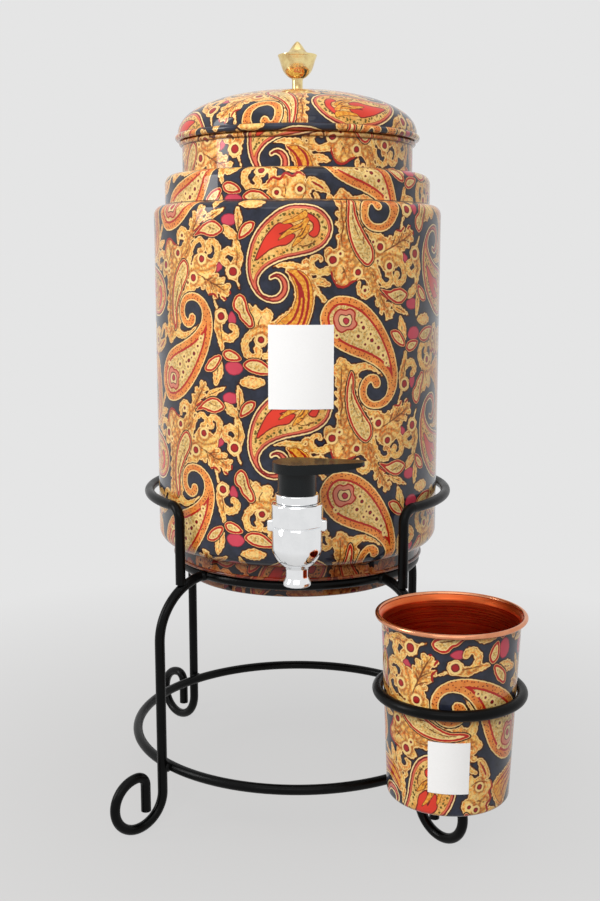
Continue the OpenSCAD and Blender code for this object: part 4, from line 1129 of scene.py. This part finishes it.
# Tap, from the outlet up
LIP_ROUND = 0.8 * MM
BARREL_FOOT_ROUND = 0.4 * MM
BARREL_TOP_ROUND = 1.2 * MM
egg_start = math.degrees(math.acos(SPOUT_NECK_R / EGG_R))
egg_end_z = EGG_Z - math.sqrt(EGG_R ** 2 - SPOUT_NECK_R ** 2)
tap_outer = (
    [(SPOUT_BORE_R, SPOUT_Z)] + arc((SPOUT_LIP_R - LIP_ROUND, SPOUT_Z + LIP_ROUND), LIP_ROUND, -90, 0, 6)
    + smooth_line([(SPOUT_LIP_R, SPOUT_Z + 1.2 * MM), (SPOUT_LIP_R, SPOUT_Z + 2.3 * MM),
                   (SPOUT_NECK_R + 0.3 * MM, SPOUT_Z + 4.2 * MM), (SPOUT_NECK_R, SPOUT_Z + 5.2 * MM),
                   (SPOUT_NECK_R, egg_end_z - 0.6 * MM)])
    + resampled(arc((0, EGG_Z), EGG_R, -egg_start + 2, 0, 24), 1 * MM)
    + [(EGG_R, TAP_SEAM_Z - 1.1 * MM), (EGG_R - 0.2 * MM, TAP_SEAM_Z - 0.8 * MM),
       (EGG_R - 1 * MM, TAP_SEAM_Z - 0.7 * MM), (EGG_R - 1 * MM, TAP_SEAM_Z)]
    + arc((BARREL_R - BARREL_FOOT_ROUND, TAP_SEAM_Z + BARREL_FOOT_ROUND), BARREL_FOOT_ROUND, -90, 0, 5)
    + [(BARREL_R, BARREL_TOP_Z - 1.4 * MM)]
    + arc((BARREL_R - BARREL_TOP_ROUND, BARREL_TOP_Z - 1.3 * MM), BARREL_TOP_ROUND, 0, 90, 8)
    + [(CHAMBER_R, BARREL_TOP_Z - 0.1 * MM)])
chromed("tap_barrel_and_spout", "tap_body",
        lathe(tap_outer, [(CHAMBER_R, CHAMBER_Z), (SPOUT_BORE_R, CHAMBER_Z)], TAP_COLUMNS, centre=TAP_AT))


def shank_mesh(columns=96, chamfer=0.6 * MM):
    """The tube through the pot's wall, with its flange outside and its thread inside, along +Y."""
    start_y = TAP_AT.y + CHAMBER_R + 1.5 * MM
    thread_y = np.arange(-POT_R + 1 * MM, SHANK_END_Y - 1 * MM, THREAD_PITCH / 2)
    line = [(start_y, WATER_R), (start_y, SHANK_R), (FLANGE_Y - FLANGE_T, SHANK_R),
            (FLANGE_Y - FLANGE_T, FLANGE_R - chamfer), (FLANGE_Y - FLANGE_T + chamfer, FLANGE_R),
            (FLANGE_Y - chamfer, FLANGE_R), (FLANGE_Y, FLANGE_R - chamfer), (FLANGE_Y, SHANK_R)]
    line += [(y, SHANK_R - THREAD_DEPTH * (k % 2)) for k, y in enumerate(thread_y)]
    line += [(SHANK_END_Y, SHANK_R - 1 * MM), (SHANK_END_Y, WATER_R)]
    mesh = lathe([(radius, y) for y, radius in line], [], columns)
    mesh.transform(Matrix.Translation((0, 0, SHANK_Z)) @ Matrix.Rotation(math.radians(-90), 4, "X"))
    return mesh


chromed("tap_shank", "tap_body", shank_mesh())


def ear_mesh(side):
    """One of the two rounded ears beside the barrel."""
    maker = bmesh.new()
    half = Vector((2.6 * MM, 3.5 * MM, 3.25 * MM))
    bmesh.ops.create_cube(maker, size=2)
    bmesh.ops.scale(maker, vec=half, verts=maker.verts)
    bmesh.ops.bevel(maker, geom=maker.edges[:], offset=1.3 * MM, segments=5, affect="EDGES", profile=0.5)
    shift = Vector((TAP_AT.x + side * (LUG_REACH - half.x), TAP_AT.y, TAP_SEAM_Z))
    bmesh.ops.translate(maker, vec=shift, verts=maker.verts)
    return smooth_mesh(maker)


for side, name in ((-1, "tap_ear_left"), (1, "tap_ear_right")):
    chromed(name, "tap_body", ear_mesh(side))

trim_line = (
    [(TRIM_BORE_R, BARREL_TOP_Z), (TRIM_R - TRIM_EDGE, BARREL_TOP_Z)]
    + arc((TRIM_R - TRIM_EDGE, BARREL_TOP_Z + TRIM_EDGE), TRIM_EDGE, -90, 0, 6)
    + arc((TRIM_R - TRIM_EDGE, TRIM_HIGH.z - TRIM_EDGE), TRIM_EDGE, 0, 90, 6)
    + [(TRIM_BORE_R, TRIM_HIGH.z)])
chromed("tap_trim", "tap_trim_ring", lathe(trim_line, [], TAP_COLUMNS, centre=TAP_AT))


def coil_mesh(steps=160, sides=12):
    """The wire of the spring, wound about the tap's axis."""
    middle = (SPRING_LOW + SPRING_HIGH) / 2
    radius = (SPRING_HIGH.x - SPRING_LOW.x) / 2 - SPRING_WIRE
    rise = SPRING_HIGH.z - SPRING_LOW.z - 2 * SPRING_WIRE
    turn, side = np.meshgrid(np.linspace(0, 2 * math.pi * SPRING_CURLS, steps + 1),
                             2 * math.pi * np.arange(sides) / sides, indexing="ij")
    out = radius + SPRING_WIRE * np.cos(side)
    z = SPRING_LOW.z + SPRING_WIRE + rise * turn / turn.max() + SPRING_WIRE * np.sin(side)
    places = np.stack([middle.x + out * np.cos(turn), middle.y + out * np.sin(turn), z], 2)
    faces = [(i + j, i + sides + j, i + sides + (j + 1) % sides, i + (j + 1) % sides)
             for i in range(0, steps * sides, sides) for j in range(sides)]
    faces += [tuple(range(sides)), tuple(range((steps + 1) * sides - 1, steps * sides - 1, -1))]
    mesh = bpy.data.meshes.new("mesh")
    mesh.from_pydata(places.reshape(-1, 3).tolist(), [], faces)
    mesh.shade_smooth()
    return mesh


# The tap's spring, whose coils close up as the valve lifts
coil = dressed("tap_spring_coil", "pot", "steel", ["tap_spring"], coil_mesh(), STEEL)
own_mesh(coil)

# The welds of the stand, flattened and a little uneven: how much, and how fine, in lumps a metre
WELD_FLAT = 0.9
WELD_UNEVEN = 0.09
WELD_LUMPS = 420
welds = bmesh.new()
for azimuth in WELD_TURNS:
    for radius, z, size in WELDS:
        turn = math.radians(azimuth)
        at = Vector((radius * math.cos(turn), radius * math.sin(turn), z))
        for vertex in bmesh.ops.create_icosphere(welds, subdivisions=3, radius=size)["verts"]:
            vertex.co *= 1 + WELD_UNEVEN * noise.noise((vertex.co + at) * WELD_LUMPS)
            vertex.co.z *= WELD_FLAT
            vertex.co += at
dressed("stand_welds", "stand", "black_rod", [], smooth_mesh(welds), BLACK_ROD)

# Floor, backdrop, lamps and camera
BACKDROP = "e5e5e5"
# The floor's colour for bounced light, which also makes the painted pool of shade near the middle
FLOOR_BOUNCE_AND_SHADE = "7a736c"
WORLD_LIGHT = 0.22


def seen_as_backdrop(nodes):
    """1 for what the camera sees, straight or in gloss or glass, and 0 for light on the object."""
    path = nodes.add("LightPath")
    found = path.outputs["Is Camera Ray"]
    for ray in ("Is Glossy Ray", "Is Transmission Ray"):
        found = nodes.math("MAXIMUM", found, path.outputs[ray])
    return found


def studio_world():
    world = bpy.data.worlds.new("studio")
    world.use_nodes = True
    nodes = Nodes(world.node_tree)
    background = nodes.tree.nodes["Background"]
    nodes.put(background.inputs["Color"], BACKDROP)
    level = nodes.between(seen_as_backdrop(nodes), 0, 1, WORLD_LIGHT, 1)
    nodes.put(background.inputs["Strength"], level)
    bpy.context.scene.world = world


def floor_finish(shadow_depth, near_m, far_m):
    """The floor shows the backdrop's own colour, darkened where the object shades it, and near the middle
    a painted pool of shade from its darker diffuse colour.
    """
    finish = Finish("floor", Roughness=0.9, Specular_IOR_Level=0.1)
    finish.put(finish.shader.inputs["Base Color"], FLOOR_BOUNCE_AND_SHADE)
    glow = finish.add("Emission", {"Color": BACKDROP, "Strength": 1.0})
    distance = finish.add("VectorMath", {0: finish.place()}, operation="LENGTH").outputs["Value"]
    # Near the middle the camera sees part of the darker diffuse floor: a painted pool of shade, deepened by
    # real shadow
    share = finish.between(distance, near_m, far_m, 1 - shadow_depth, 1.0)
    seen = finish.math("MULTIPLY", seen_as_backdrop(finish), share)
    blend = finish.add("MixShader", {0: seen, 1: finish.shader.outputs[0], 2: glow.outputs[0]})
    finish.put(finish.tree.nodes["Material Output"].inputs["Surface"], blend.outputs[0])
    return finish.material


def floor_disc(radius):
    maker = bmesh.new()
    bmesh.ops.create_circle(maker, cap_ends=True, segments=96, radius=radius)
    mesh = smooth_mesh(maker)
    mesh.materials.append(floor_finish(0.26, 0.08, 0.5))
    linked("floor", mesh)


def softbox(name, azimuth, height, distance, width, tall, power, mirrored=True):
    """A rectangular lamp that shines on the pot. The azimuth is in degrees to the camera's right."""
    data = bpy.data.lights.new(name, "AREA")
    data.shape = "RECTANGLE"
    data.size = width
    data.size_y = tall
    data.energy = power
    lamp = linked(name, data)
    turn = FRONT + math.radians(azimuth)
    lamp.location = (distance * math.cos(turn), distance * math.sin(turn), height)
    lamp.rotation_euler = (Vector((0, 0, 0.25)) - lamp.location).to_track_quat("-Z", "Y").to_euler()
    lamp.visible_camera = False
    lamp.visible_glossy = mirrored


studio_world()
floor_disc(6)
softbox("key_left", -34, 1.8, 1.5, 1.2, 1.2, 8, mirrored=False)
softbox("front", -4, 1.5, 1.8, 1.2, 1.0, 30, mirrored=False)
softbox("card_left", -76, 0.86, 1.6, 0.45, 0.95, 10)
softbox("card_front", -6, 1.3, 1.9, 1.6, 0.8, 6)
softbox("overhead", 0, 1.7, 0.5, 1.4, 1.4, 3.5)
softbox("back_left", -140, 0.9, 1.5, 0.9, 1.0, 3, mirrored=False)
softbox("back_right", 150, 1.2, 1.6, 0.9, 1.0, 2, mirrored=False)

# The camera that fits the photograph, and how far it looks down
CAMERA_AT = (1.6 * MM, -740 * MM, 339 * MM)
CAMERA_DOWN = 9.27
camera_data = bpy.data.cameras.new("camera")
camera_data.lens = 46.47
camera_data.sensor_width = 36
camera = linked("camera", camera_data)
camera.location = CAMERA_AT
camera.rotation_euler = (math.radians(90 - CAMERA_DOWN), 0, 0)
bpy.context.scene.camera = camera
bpy.context.scene.view_settings.view_transform = "Standard"
